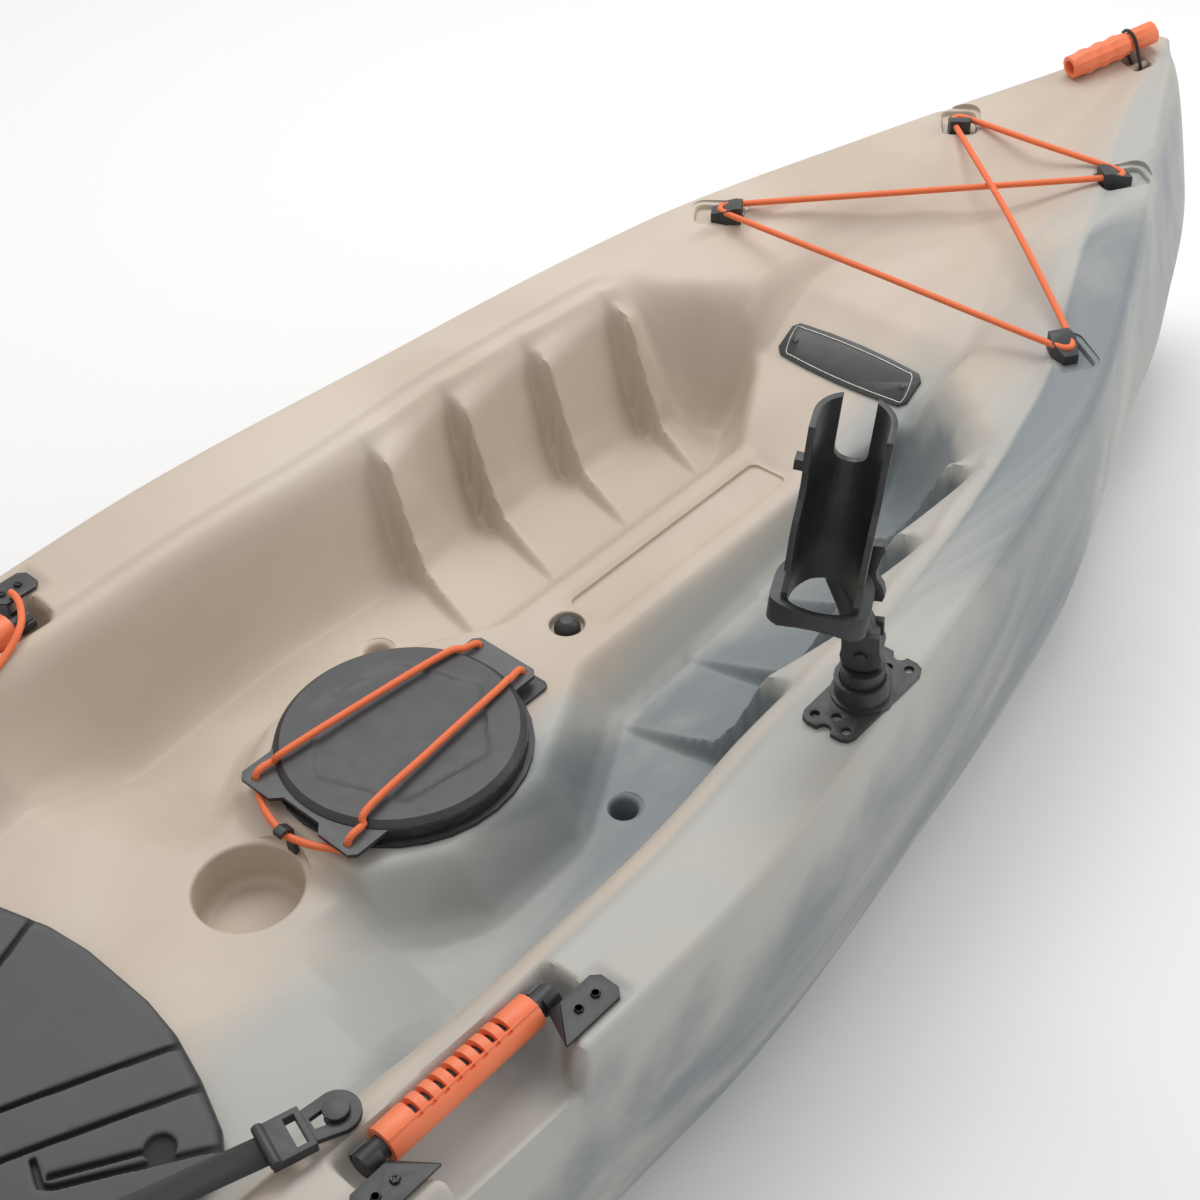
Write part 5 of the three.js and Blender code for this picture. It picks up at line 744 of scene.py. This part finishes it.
def height_field():
    """The deck's ten lines over the grid, then foot rests, lip, scoops and soft corners."""
    lines = [deck_line(i, GX) for i in range(10)]
    ys = np.maximum.accumulate(np.array([l[0] for l in lines]), axis=0)
    zs = np.array([l[1] for l in lines])
    base = np.array([np.interp(GY, ys[:, i], zs[:, i]) for i in range(len(GX))])
    edge = sheer(GX)[:, None]
    # Corners at the foot of a wall are filled by a wide fillet, edges at its top stay crisp
    fine, broad = soften(base, 3 / STEP), soften(base, 10 / STEP)
    fill = np.maximum(broad - fine, 0)
    base = fine + fill * ease(ramp(fill, 1.0, 5.0))
    out = foot_rests(base, edge, ys) + lip(GX[:, None], GY[None, :])
    across = np.clip(np.abs(GY - SCOOP_Y), 0, SCOOP_R)
    bottom = SCOOP_Z - np.sqrt(SCOOP_R ** 2 - across ** 2)
    limit = table(SCOOP_END, np.abs(GX - HANDLE_X))
    scooped = (GY[None, :] < limit[:, None]) & (across < SCOOP_R)[None, :]
    out = np.where(scooped, np.minimum(out, bottom[None, :]), out)
    beside = np.abs(np.abs(GX - HANDLE_X) - PLATE_OFF) < PLATE_LONG
    seated = beside[:, None] & (np.abs(GY - PLATE_Y) < PLATE_WIDE)[None, :]
    out = np.where(seated, np.minimum(out, PLATE_LOW), out)
    out = soften(out, 2.4 / STEP)
    # The bulkhead and the corners beside it are plain and soft
    calm = (ramp(GX, 796, 822) * (1 - ramp(GX, 900, 940)))[:, None] * ramp(GY, 104, 128)[None, :]
    return mix(out, soften(out, 13 / STEP), calm)


DECK = height_field()


def deck_at(x, y):
    """Bilinear height of the finished deck, mm, for arrays x and |y|."""
    fx = np.clip((x + HALF) / STEP, 0, len(GX) - 1.001)
    fy = np.clip(np.abs(y) / STEP, 0, len(GY) - 1.001)
    i, j = fx.astype(int), fy.astype(int)
    u, v = fx - i, fy - j
    return ((1 - u) * (1 - v) * DECK[i, j] + u * (1 - v) * DECK[i + 1, j] + (1 - u) * v * DECK[i, j + 1]
            + u * v * DECK[i + 1, j + 1])


def height_at(x, y):
    return float(deck_at(np.array([x]), np.array([y]))[0])


# Widest half breadth, and the sides from the gunwale down to the keel
HALF_BOX = 398.7
SIDE_HEIGHT = [0.965, 0.62, 0.3, 0.13, 0.02, 0, 0]
SIDE_FULL = [0.1, 0.75, 1, 0.35, -0.2, 0, 0]
SIDE_BREADTH = [1, 1, 1, 0.96, 0.72, 0.4, 0]
EDGE_RADIUS = 9.0
# Stretches of the hull and the step of the stations in each
STRETCHES = [(-HALF, 6), (-1380, 4), (-1220, 8), (-720, 4), (-480, 7), (-110, 2.6), (120, 3.4), (420, 2.8),
             (980, 5), (1300, 4), (HALF, 0)]


def hull_mesh():
    """One closed skin: rings of points at each station, over the deck and round under the keel."""
    spots = np.concatenate([np.arange(start, end, step) for (start, step), (end, _)
                            in zip(STRETCHES, STRETCHES[1:])] + [[HALF]])
    v_in, v_flat = np.linspace(0, 1, 112), np.linspace(0, 1, 28)[1:]
    wall, inner, edge = breadth(spots), gunwale(spots), sheer(spots)
    flat_y = mix(inner[:, None], wall[:, None], v_flat[None, :])
    deck_y = np.hstack([inner[:, None] * v_in[None, :], flat_y])
    deck_z = deck_at(np.repeat(spots[:, None], deck_y.shape[1], 1), deck_y)
    # The gunwale has a rounded outer edge
    round_r = np.minimum(EDGE_RADIUS, wall * 0.6)[:, None]
    over = np.clip(deck_y - (wall[:, None] - round_r), 0, round_r)
    deck_z = deck_z - (round_r - np.sqrt(np.maximum(round_r ** 2 - over ** 2, 0)))
    low = SHEER_MID * smooth_table(ROCKER, spots / HALF)
    full = BEAM / 2 * smooth_table(FULL, spots / HALF)
    key_y = [wall] + [np.maximum(wall * b + full * f, 0) for b, f in zip(SIDE_BREADTH, SIDE_FULL)]
    key_z = [deck_z[:, -1]] + [low + (edge - low) * h for h in SIDE_HEIGHT]
    key_z[1] = np.minimum(key_z[1], key_z[0] - 1.5)
    keys = np.stack([np.array(key_y).T, np.array(key_z).T], axis=2)
    sides = []
    for points, half_wide in zip(keys, wall):
        flat = np.column_stack([np.zeros(len(points)), points])
        line = resample(flat, 9.0 if half_wide > 60 else 6.0, False)[:, 1:]
        run = np.linspace(0, len(line) - 1, 44)
        sides.append(np.column_stack([np.interp(run, np.arange(len(line)), line[:, k]) for k in (0, 1)]))
    sides = np.array(sides)
    sides[:, :, 0] = np.maximum(sides[:, :, 0], 0)
    sides[:, -1, 0] = 0
    half_y = np.hstack([deck_y, sides[:, 1:, 0]])
    half_z = np.hstack([deck_z, sides[:, 1:, 1]])
    ring_y = np.hstack([half_y, -half_y[:, -2:0:-1]])
    ring_z = np.hstack([half_z, half_z[:, -2:0:-1]])
    rows, n = ring_y.shape
    rings = np.stack([np.repeat(spots[:, None], n, 1), ring_y, ring_z], axis=2).reshape(-1, 3)
    verts = np.vstack([rings, [(spots[row], 0, ring_z[row].mean()) for row in (0, -1)]]) * MM
    faces = ring_faces(rows, n)
    for tip, first, way in ((rows * n, 0, -1), (rows * n + 1, (rows - 1) * n, 1)):
        faces += [(tip, *(first + k, first + (k + 1) % n)[::way]) for k in range(n)]
    verts[:, 1] = np.clip(verts[:, 1], -HALF_BOX * MM, HALF_BOX * MM)
    verts[:, 2] = np.maximum(verts[:, 2], 0)
    obj = mesh_object("hull_shell", verts, faces, MAT["hull_plastic"], 50)
    fix_normals(obj)
    return obj


def cutter(parts):
    """One object of several closed meshes in mm, given as (points, faces)."""
    verts, faces = [], []
    for points, polys in parts:
        base = len(verts)
        verts += [tuple(Vector(p) * MM) for p in points]
        faces += [tuple(base + i for i in poly) for poly in polys]
    obj = mesh_object("cutter", verts, faces, MAT["hull_plastic"], 40)
    fix_normals(obj)
    return obj


def bowl(x, radius, floor, rim, fillet, flare, sides):
    """Cutter of a round well on the middle line, with a rounded floor corner and a flared rim."""
    quarter = [math.pi / 2 * k / 6 for k in range(7)]
    profile = [(radius + fillet * (math.sin(a) - 1), floor + fillet * (1 - math.cos(a))) for a in quarter]
    profile += [(radius + flare * (1 - math.cos(a)), rim + flare * (math.sin(a) - 1)) for a in quarter]
    profile += [(radius + flare + 2.5, rim + 0.7), (radius + flare + 2.5, rim + 45)]
    return lathe(profile, sides, x, 0)


def pocket(matrix, length, width, corner, depth, flare, high=40.0):
    """Cutter of a rounded rectangular pocket in its own frame, flared at the deck."""
    steps = ((-2.2, -depth), (-0.6, 0.7 - depth), (0, 2.2 - depth), (0, -flare), (0.3 * flare, -0.3 * flare),
             (flare, 0), (flare + 2, 0.6), (flare + 2, high))
    points = []
    for grow, z in steps:
        c = max(corner + grow, 0.5)
        for sx, sy, start in ((1, 1, 0), (-1, 1, 1), (-1, -1, 2), (1, -1, 3)):
            for k in range(7):
                a = math.pi / 2 * (start + k / 6)
                points.append(tuple(matrix @ Vector((sx * (length / 2 - corner) + c * math.cos(a),
                                                     sy * (width / 2 - corner) + c * math.sin(a), z))))
    n, count = len(points) // len(steps), len(points)
    return points, ring_faces(len(steps), n) + [tuple(range(n))[::-1], tuple(range(count - n, count))]


def apply_boolean(obj, tool):
    modifier = obj.modifiers.new("cut", "BOOLEAN")
    modifier.operation, modifier.object, modifier.solver = "DIFFERENCE", tool, "MANIFOLD"
    bake(obj)
    bpy.data.objects.remove(tool)


SCUPPER_SHARES = {"scupperFoot": 0.546, "scupperSeat": 0.46, "scupperTank": 0.45}
SCUPPER_R, SCUPPER_LIP, TUBE_SHARE, TUBE_SUNK = 13, 5, 0.66, 3
GRIP_POCKET = dict(length=24, width=42, corner=6, depth=19, flare=2.5)
GRIP_SHIFT, RECESS_SHORT = 7, 10
RECESS = dict(width=46, corner=9, depth=7.6, flare=2.6, high=8)
TUBE_R, TUBE_SEAT, TUBE_MOUTH, TUBE_DEEP = 24, 34, 36, 111
DRAIN_STEM, DRAIN_R, DRAIN_SUNK = 8, 17, 5
OVER = 60


def scupper_tool(x, y):
    """A tube through the hull, with a rounded lip at its foot and a dished mouth in the floor."""
    top = height_at(x, y)
    foot = [(SCUPPER_R + SCUPPER_LIP * (1 - math.sin(a)), SCUPPER_LIP * (1 - math.cos(a)))
            for a in (k * math.pi / 8 for k in range(1, 5))]
    mouth = [(0, -6), (0.6, -3), (2.4, -0.8), (6, 0.3), (6, OVER)]
    wide = SCUPPER_R + SCUPPER_LIP
    profile = [(wide, -SCUPPER_LIP), (wide, 0), *foot, *((SCUPPER_R + r, top + z) for r, z in mouth)]
    return lathe(profile, 40, x, y)


def hull_tools():
    """Cutters of the deck's wells, holes and pockets."""
    tools = [bowl(CUP_X, CUP_R, SEAT - CUP_DEEP, SEAT, 10, 4, 72),
             lathe([(MOUTH_R, 12), (MOUTH_R, 230)], 64, HATCH_X, 0),
             bowl(PLUG_X, PLUG_R, CONSOLE - PLUG_DEEP, CONSOLE, 2, 2.5, 48),
             lathe([(PLUG_STEM, CONSOLE - 36), (PLUG_STEM, CONSOLE + 14)], 32, PLUG_X, 0)]
    for spot, share in SCUPPER_SHARES.items():
        x = AT[spot]
        tools += [scupper_tool(x, side * share * float(gunwale(x))) for side in (1, -1)]
    x = AT["rodTube"]
    y = TUBE_SHARE * float(gunwale(x))
    z = solid_height(x, y) - TUBE_SUNK
    profile = [(TUBE_R, z - TUBE_DEEP), (TUBE_R, z), (TUBE_SEAT, z), (TUBE_MOUTH, z + 3.4),
               (TUBE_MOUTH, z + OVER)]
    tools += [lathe(profile, 48, x, side * y) for side in (1, -1)]
    x, z = AT["drain"], height_at(AT["drain"], 0)
    tools.append(lathe([(DRAIN_STEM, 252), (DRAIN_STEM, z - DRAIN_SUNK), (DRAIN_R, z - DRAIN_SUNK),
                        (DRAIN_R + 0.6, z - 1), (DRAIN_R + 3, z + 0.6), (DRAIN_R + 3, z + 50)], 40, x, 0))
    lifted = Matrix.Translation((EYE_SHIFT, 0, EYE_POCKET["depth"]))
    tools += [pocket(eye @ lifted, **EYE_POCKET) for frames in EYES.values() for eye in frames]
    tools += [pocket(grip @ Matrix.Translation((0, GRIP_SHIFT, 0)), **GRIP_POCKET) for grip in GRIPS]
    fore = AT["faceFoot"] - RECESS_SHORT
    middle = Matrix.Translation(((CHANNEL_AFT + fore) / 2, 0, CONSOLE))
    tools.append(pocket(middle, length=fore - CHANNEL_AFT, **RECESS))
    return tools


def paint(points):
    """From tan (0) over pale grey (0.6) to blue-grey (1.3), by the place on the hull, mm."""
    x, y, z = points.T
    star = -y / np.maximum(breadth(x), 40)
    under = sheer(x) - z
    outer = ramp(np.abs(y) - gunwale(x), -6, 2)
    side = outer * ramp(under, 8, 30)
    fore = ramp(x, 560, 720) * (1 - ramp(x, 1050, 1250))
    right = ramp(star, -0.2, 0.2)
    well = ramp(star, 0.08, 0.32) * ramp(under, 20, 60) * ramp(x, -240, -60) * (1 - ramp(x, 830, 960))
    inside = 0.42 * star + well * (0.55 + 0.55 * ramp(x, 60, 300))
    rail = mix(-0.45, 0.6 + 0.36 * fore, right)
    below = mix(-0.2, 0.82 - 0.05 * fore, right)
    return (1 - outer) * inside + (outer - side) * rail + side * below


def grip_bar(grip):
    spots = [grip @ Vector((along, 0, -BAR_DROP)) * MM for along in (-BAR_REACH, 0, BAR_REACH)]
    return tube("grip_bar", spots, BAR_RADIUS * MM, 20, material=MAT["hull_plastic"])[0]


hull = hull_mesh()
apply_boolean(hull, cutter(hull_tools()))
shade(hull, 42)
with bpy.context.temp_override(active_object=hull, selected_editable_objects=[hull, *map(grip_bar, GRIPS)]):
    bpy.ops.object.join()
attribute(hull, "paint", paint(coordinates(hull).astype(float) / MM))
place(hull, "hull")


# Soft goods, in metres
VOXEL, CELL, CROWN_WIDE = 0.0017, 0.004, 0.022
# Painted shade in the foam's channels: the depth below the crown where it starts, the further depth over
# which it grows full, and the depth where it ends
CHANNEL_FROM, CHANNEL_FULL, CHANNEL_FLOOR = 0.0014, 0.0022, 0.0095
LEAN = math.radians(14)
STRAP_STEP = 0.016


def quilted(node, normal):
    """Foam pressed from the solid's form: rounded edges, and a 'groove' attribute of painted shade in its
    channels.
    """
    obj = linked(node + "_foam", NODES[node].data.copy())
    remesh = obj.modifiers.new("remesh", "REMESH")
    remesh.mode, remesh.voxel_size, remesh.adaptivity = "VOXEL", VOXEL, 0.0
    rounded = obj.modifiers.new("smooth", "SMOOTH")
    rounded.factor, rounded.iterations = 0.6, 5
    bake(obj)
    verts = coordinates(obj)
    out = np.array(normal, float)
    # Each cell's highest point, blurred over the cells that have one, is the pad's surface
    flat = np.column_stack([verts @ np.cross((0, 1, 0), out), verts[:, 1]])
    spot = ((flat - flat.min(0)) / CELL).astype(int)
    high = np.full(spot.max(0) + 1, -np.inf)
    np.maximum.at(high, (spot[:, 0], spot[:, 1]), verts @ out)
    known = np.isfinite(high)
    reach = CROWN_WIDE / CELL
    level = blurred(blurred(np.where(known, high, 0), reach, 0), reach, 1)
    share = blurred(blurred(known.astype(float), reach, 0), reach, 1)
    crown = (level / np.maximum(share, 1e-6))[spot[:, 0], spot[:, 1]]
    # Painted shade: points sunk below the crown are darkened, but not the foam's sides far below it
    depth = crown + 0.0012 - verts @ out
    upper = np.clip((CHANNEL_FLOOR - depth) / 0.002, 0, 1)
    finish(obj, MAT["seat_foam"], 60)
    attribute(obj, "groove_shade", np.clip((depth - CHANNEL_FROM) / CHANNEL_FULL, 0, 1) * upper)
    place(obj, node)


def strapped(node):
    """A webbing strap cut into short lengths."""
    obj = linked(node + "_webbing", NODES[node].data.copy())
    work = bmesh.new()
    work.from_mesh(obj.data)
    bmesh.ops.remove_doubles(work, verts=work.verts, dist=WELD)
    for _ in range(6):
        long_edges = [e for e in work.edges if e.calc_length() > STRAP_STEP]
        if long_edges:
            bmesh.ops.subdivide_edges(work, edges=long_edges, cuts=1, use_grid_fill=True)
    bmesh.ops.triangulate(work, faces=[f for f in work.faces if len(f.verts) > 4])
    work.to_mesh(obj.data)
    work.free()
    finish(obj, MAT["webbing"], 50)
    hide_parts(node)
    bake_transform(obj)


quilted("seat_pad", (0, 0, 1))
quilted("seat_back", (math.cos(LEAN), 0, math.sin(LEAN)))
STRAPS = {f"{side}_strap_{end}": f"{side}_strap_{pin}" for side in ("port", "star")
          for end, pin in (("front", "pin"), ("rear", "rear_pin"))}
for node, pin_node in STRAPS.items():
    strapped(node)


# Hatch lid, mm
LID_Z, LID_TAB, LID_R, LID_DOME, PANEL = 200.3, 4.0, 105.0, 8.0, 2.0
DISC_R, DISC_EDGE, DISC_TOP = 113.4, 107.5, 6.0
RIM_HEIGHTS = [DISC_TOP - 1.2, 1.9, 1.0, -0.3]
PANEL_TURN, PANEL_IN, PANEL_OUT = 0.35, 74, 79
SKIRT_R, SKIRT_LOW, SKIRT_THICK = 112.6, 191.4, 3
DISC_RINGS, DISC_SIDES = 34, 120


def lid_base():
    """The flange and tabs of the lid's own solid, without its top."""
    lid = dress("hatch_lid", MAT["grey_plastic"], 0.0008)
    lid.data.materials.append(MAT["black_plastic"])
    work = bmesh.new()
    work.from_mesh(lid.data)
    top, reach = (LID_Z + LID_TAB - 0.3) * MM, (LID_R + 0.4) * MM
    gone = [f for f in work.faces if all(v.co.z > top and math.hypot(v.co.x - HATCH_X * MM, v.co.y) < reach
                                         for v in f.verts)]
    bmesh.ops.delete(work, geom=gone, context="FACES")
    for f in work.faces:
        if abs(f.normal.z) < 0.6 or f.calc_center_median().z < (LID_Z - 0.5) * MM:
            f.material_index = 1
    work.to_mesh(lid.data)
    work.free()
    shade(lid, 32)


def lid_disc():
    """A crowned disc with a black edge and a sunk six-sided panel."""
    base = LID_Z + LID_TAB
    radii = [DISC_EDGE * i / DISC_RINGS for i in range(1, DISC_RINGS + 1)]
    radii += [DISC_EDGE + 1.6, DISC_R - 0.8, DISC_R, DISC_R]
    verts = [(HATCH_X, 0, base + LID_DOME - PANEL)]
    for i, r in enumerate(radii):
        for a in turns(DISC_SIDES):
            gauge = max(math.cos(a - PANEL_TURN - n * math.pi / 3) for n in range(6)) * r
            if r <= DISC_EDGE:
                sunk = PANEL * (1 - float(ramp(gauge, PANEL_IN, PANEL_OUT)))
                high = mix(LID_DOME, DISC_TOP, (r / DISC_EDGE) ** 2) - sunk
            else:
                high = RIM_HEIGHTS[i - DISC_RINGS]
            verts.append((HATCH_X + r * math.cos(a), r * math.sin(a), base + high))
    faces = [(0, 1 + k, 1 + (k + 1) % DISC_SIDES) for k in range(DISC_SIDES)]
    faces += [tuple(v + 1 for v in face) for face in ring_faces(len(radii), DISC_SIDES)]
    disc = mesh_object("hatch_disc", [tuple(c * MM for c in v) for v in verts], faces, MAT["lid_grey"], 14)
    disc.data.materials.append(MAT["black_plastic"])
    for polygon in disc.data.polygons:
        away = math.hypot(polygon.center.x - HATCH_X * MM, polygon.center.y)
        if away > (DISC_EDGE + 0.4) * MM:
            polygon.material_index = 1
    return disc


def lid_skirt():
    """The black skirt under the disc's edge."""
    base = LID_Z + LID_TAB - 1
    wall = [(SKIRT_R, base), (SKIRT_R - 0.4, SKIRT_LOW + 1), (SKIRT_R - 1.4, SKIRT_LOW),
            (SKIRT_R - SKIRT_THICK, SKIRT_LOW), (SKIRT_R - SKIRT_THICK, base)]
    points = [((HATCH_X + r * math.cos(a)) * MM, r * math.sin(a) * MM, z * MM) for r, z in wall
              for a in turns(DISC_SIDES)]
    return mesh_object("hatch_skirt", points, ring_faces(len(wall), DISC_SIDES), MAT["black_plastic"], 40)


lid_base()
for piece in (lid_disc(), lid_skirt()):
    fix_normals(piece)
    ride(piece, "hatch_lid")


# Rigid fittings
LINE_HALF, LINE_BOW, LINE_REACH, LINE_LIFT, LINE_RADIUS = 16, 3.5, 78, 1.1, 0.7


def console_plate():
    """A bare black plate with a thin bright line inside its edge."""
    dress("console_plate", MAT["plate_face"], 0.0007)
    low, high = (np.array(c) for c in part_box("console_plate"))
    middle = (low + high) / 2
    slope = math.atan2(high[2] - low[2], high[0] - low[0])
    along, out = (math.cos(slope), math.sin(slope)), (-math.sin(slope), math.cos(slope))
    route = []
    for side in (1, -1):
        for t in np.linspace(0, 1, 25)[:-1]:
            u = side * (LINE_HALF + LINE_BOW * (1 - (2 * t - 1) ** 2))
            v = side * LINE_REACH * (1 - 2 * t)
            x, z = (u * a + LINE_LIFT * o for a, o in zip(along, out))
            route.append((middle[0] + x * MM, v * MM, middle[2] + z * MM))
    rim, _ = tube("plate_line", route, LINE_RADIUS * MM, 8, True, MAT["plate_rim"], CORD_STEP)
    ride(rim, "console_plate")


console_plate()
done = {"hull", "paddle_cord", "paddle_hook", "seat_pad", "seat_back", "hatch_lid", "console_plate"}
done |= {*lace_routes, *STRAPS}
for node in sorted(set(NODES) - done):
    dress(node)


# Floor and light
floor_mesh = bpy.data.meshes.new("floor")
floor_mesh.from_pydata([(-14, -14, 0), (14, -14, 0), (14, 14, 0), (-14, 14, 0)], [], [(0, 1, 2, 3)])
floor = linked("floor", floor_mesh)
floor.location.z = -0.0005
white = Nodes("floor_white", 0.9, 0.0, 0.1)
white.shader.inputs["Base Color"].default_value = (0.92, 0.92, 0.92, 1)
floor_mesh.materials.append(white.material)

world = bpy.data.worlds.new("studio")
scene.world = world
world.use_nodes = True
wt = world.node_tree
lit, shown = wt.nodes["Background"], wt.nodes.new("ShaderNodeBackground")
for node, strength in ((lit, 0.55), (shown, 1.0)):
    node.inputs["Color"].default_value = (1, 1, 1, 1)
    node.inputs["Strength"].default_value = strength
path = wt.nodes.new("ShaderNodeLightPath")
blend = wt.nodes.new("ShaderNodeMixShader")
seen = path.outputs["Is Camera Ray"]
for ray in ("Is Glossy Ray", "Is Transmission Ray"):
    either = wt.nodes.new("ShaderNodeMath")
    either.operation = "MAXIMUM"
    wt.links.new(seen, either.inputs[0])
    wt.links.new(path.outputs[ray], either.inputs[1])
    seen = either.outputs[0]
for socket, source in zip(blend.inputs, (seen, lit.outputs[0], shown.outputs[0])):
    wt.links.new(source, socket)
wt.links.new(blend.outputs[0], wt.nodes["World Output"].inputs["Surface"])


def area(name, at, look, size, power):
    lamp = bpy.data.lights.new(name, "AREA")
    lamp.shape, lamp.size, lamp.size_y, lamp.energy = "RECTANGLE", *size, power
    obj = linked(name, lamp)
    obj.location = at
    obj.rotation_mode = "QUATERNION"
    obj.rotation_quaternion = (Vector(look) - Vector(at)).to_track_quat("-Z", "Y")


area("key", (1.6, 1.2, 3.4), (0.4, 0, 0.2), (3.0, 2.0), 70)
area("bow_fill", (3.2, -2.4, 2.0), (0.8, 0, 0.2), (2.0, 2.0), 30)
